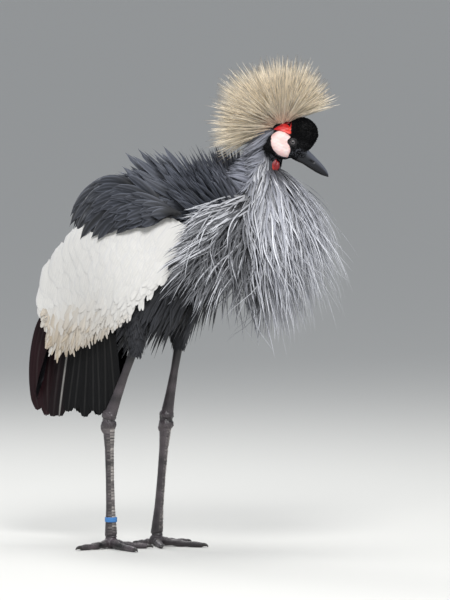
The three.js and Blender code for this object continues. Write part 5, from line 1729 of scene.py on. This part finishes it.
# Leg ring
# A split band of blue plastic round the right leg, worn matt, with rounded edges and a lapped seam.
# It is one flat strip, rounded in section, wound once round the leg and a little over its own start.
RING_HEIGHT, RING_RADIUS, RING_OVERLAP = 51, 10, 0.35
BAND_HALF = (0.8, 4.3)  # half its thickness and half its width
LAP_DEPTH, LAP_RUN = 0.75, 0.5
RING_STEPS, RING_CORNERS = 96, 24
angle = np.linspace(0, 2 * math.pi, RING_CORNERS, endpoint=False)
off = BAND_HALF[0] * np.cos(angle)
up = BAND_HALF[1] * np.sign(np.sin(angle)) * np.abs(np.sin(angle)) ** 0.35
turn = np.linspace(0.0, 2 * math.pi + RING_OVERLAP, RING_STEPS)[:, None]
radius = RING_RADIUS - LAP_DEPTH * ease(turn, LAP_RUN, 0.0) + off
round_leg = [RING_FOOT[0] + np.cos(turn) * radius, RING_FOOT[1] + np.sin(turn) * radius, RING_HEIGHT + up]
rings = np.stack(np.broadcast_arrays(*round_leg), -1)
ends = [rings[k].mean(0) + (rings[k] - rings[k].mean(0)) * 0.02 for k in (0, -1)]
rings = np.concatenate([ends[0][None], rings, ends[1][None]]).reshape(-1, 3)
band = make_mesh("plastic_band", rings, grid_faces(RING_STEPS + 2, RING_CORNERS, around=True))

# Blue plastic: moulded and worn matt, slightly milky, with scuffs about 3 mm apart.
band_plastic, tree, surface = new_material("blue leg ring plastic", Roughness=0.42, Subsurface_Weight=0.05)
scuffs = spots(tree, MM / 350, 4.0)
mottle(tree, surface, scuffs, 0.8, 1.2, linear("#3f7fc0"))
emboss(tree, surface, scuffs, 0.2, 0.3)
finish_piece(band, band_plastic, ["leg_ring"])

# Floor, light and camera
# A wide flat floor in pale matt paint, soft daylight, and a long lens at the photograph's angle.
# The floor fills the background, and has no wall, so that the bird can be looked at from every side.
FLOOR_REACH = 90000
PHOTO_SCALE = 1.75  # mm of the bird for each pixel
PHOTO_ORIGIN = (135, 548)  # where the bird's origin falls in the photograph, px
PHOTO_SIZE = (450, 600)
CAMERA_AZIMUTH = 30
CAMERA_ELEVATION = 4
CAMERA_DISTANCE = 30000
SENSOR = 36.0
LAMP_TARGET = (60, 0, 480)
LAMPS = {  # place in mm, size in m, watts
    "key_softbox": ((1500, -2100, 2500), 1.0, 85),
    "rim_softbox": ((-1900, 1500, 2300), 1.4, 40),
    "top_softbox": ((200, 100, 2900), 2.0, 45),
}

corners = np.array([(-1, -1, 0), (1, -1, 0), (-1, 1, 0), (1, 1, 0)], float) * FLOOR_REACH
floor = make_mesh("floor", corners, grid_faces(2, 2))
floor_paint, tree, surface = new_material("matt studio floor paint", Roughness=0.95)
surface.inputs["Base Color"].default_value = (*linear("#c9c8c4"), 1)
floor.data.materials.append(floor_paint)


def aim(name, kind, place, way):
    """Sets a lamp or a lens at a place in the bird's frame, looking along a way."""
    made = bpy.data.objects.new(name, kind)
    made.location = scene_places(place)
    made.rotation_mode = "QUATERNION"
    made.rotation_quaternion = Vector(way).to_track_quat("-Z", "Y")
    bpy.context.scene.collection.objects.link(made)
    return made


azimuth, elevation = math.radians(CAMERA_AZIMUTH), math.radians(CAMERA_ELEVATION)
right = np.array([math.cos(azimuth), math.sin(azimuth), 0])
level = math.cos(elevation)
back = np.array([math.sin(azimuth) * level, -math.cos(azimuth) * level, math.sin(elevation)])
across_mm = (PHOTO_SIZE[0] / 2 - PHOTO_ORIGIN[0]) * PHOTO_SCALE
above_mm = (PHOTO_ORIGIN[1] - PHOTO_SIZE[1] / 2) * PHOTO_SCALE
target = right * across_mm + UP * above_mm
lens = bpy.data.cameras.new("portrait_lens")
lens.sensor_width = SENSOR
lens.lens = SENSOR * CAMERA_DISTANCE / (PHOTO_SIZE[1] * PHOTO_SCALE)
lens.clip_end = 60
bpy.context.scene.camera = aim("camera", lens, target + back * CAMERA_DISTANCE, -back)

sky = bpy.data.worlds.new("soft sky")
sky.use_nodes = True
sky.node_tree.nodes["Background"].inputs["Color"].default_value = (*linear("#e4e9f0"), 1)
sky.node_tree.nodes["Background"].inputs["Strength"].default_value = 0.6
bpy.context.scene.world = sky
for name, (place, size, power) in LAMPS.items():
    light = bpy.data.lights.new(name, "AREA")
    light.shape = "DISK"
    light.size = size
    light.energy = power
    aim(name, light, place, np.array(LAMP_TARGET) - place)
bpy.context.scene.view_settings.view_transform = "Standard"
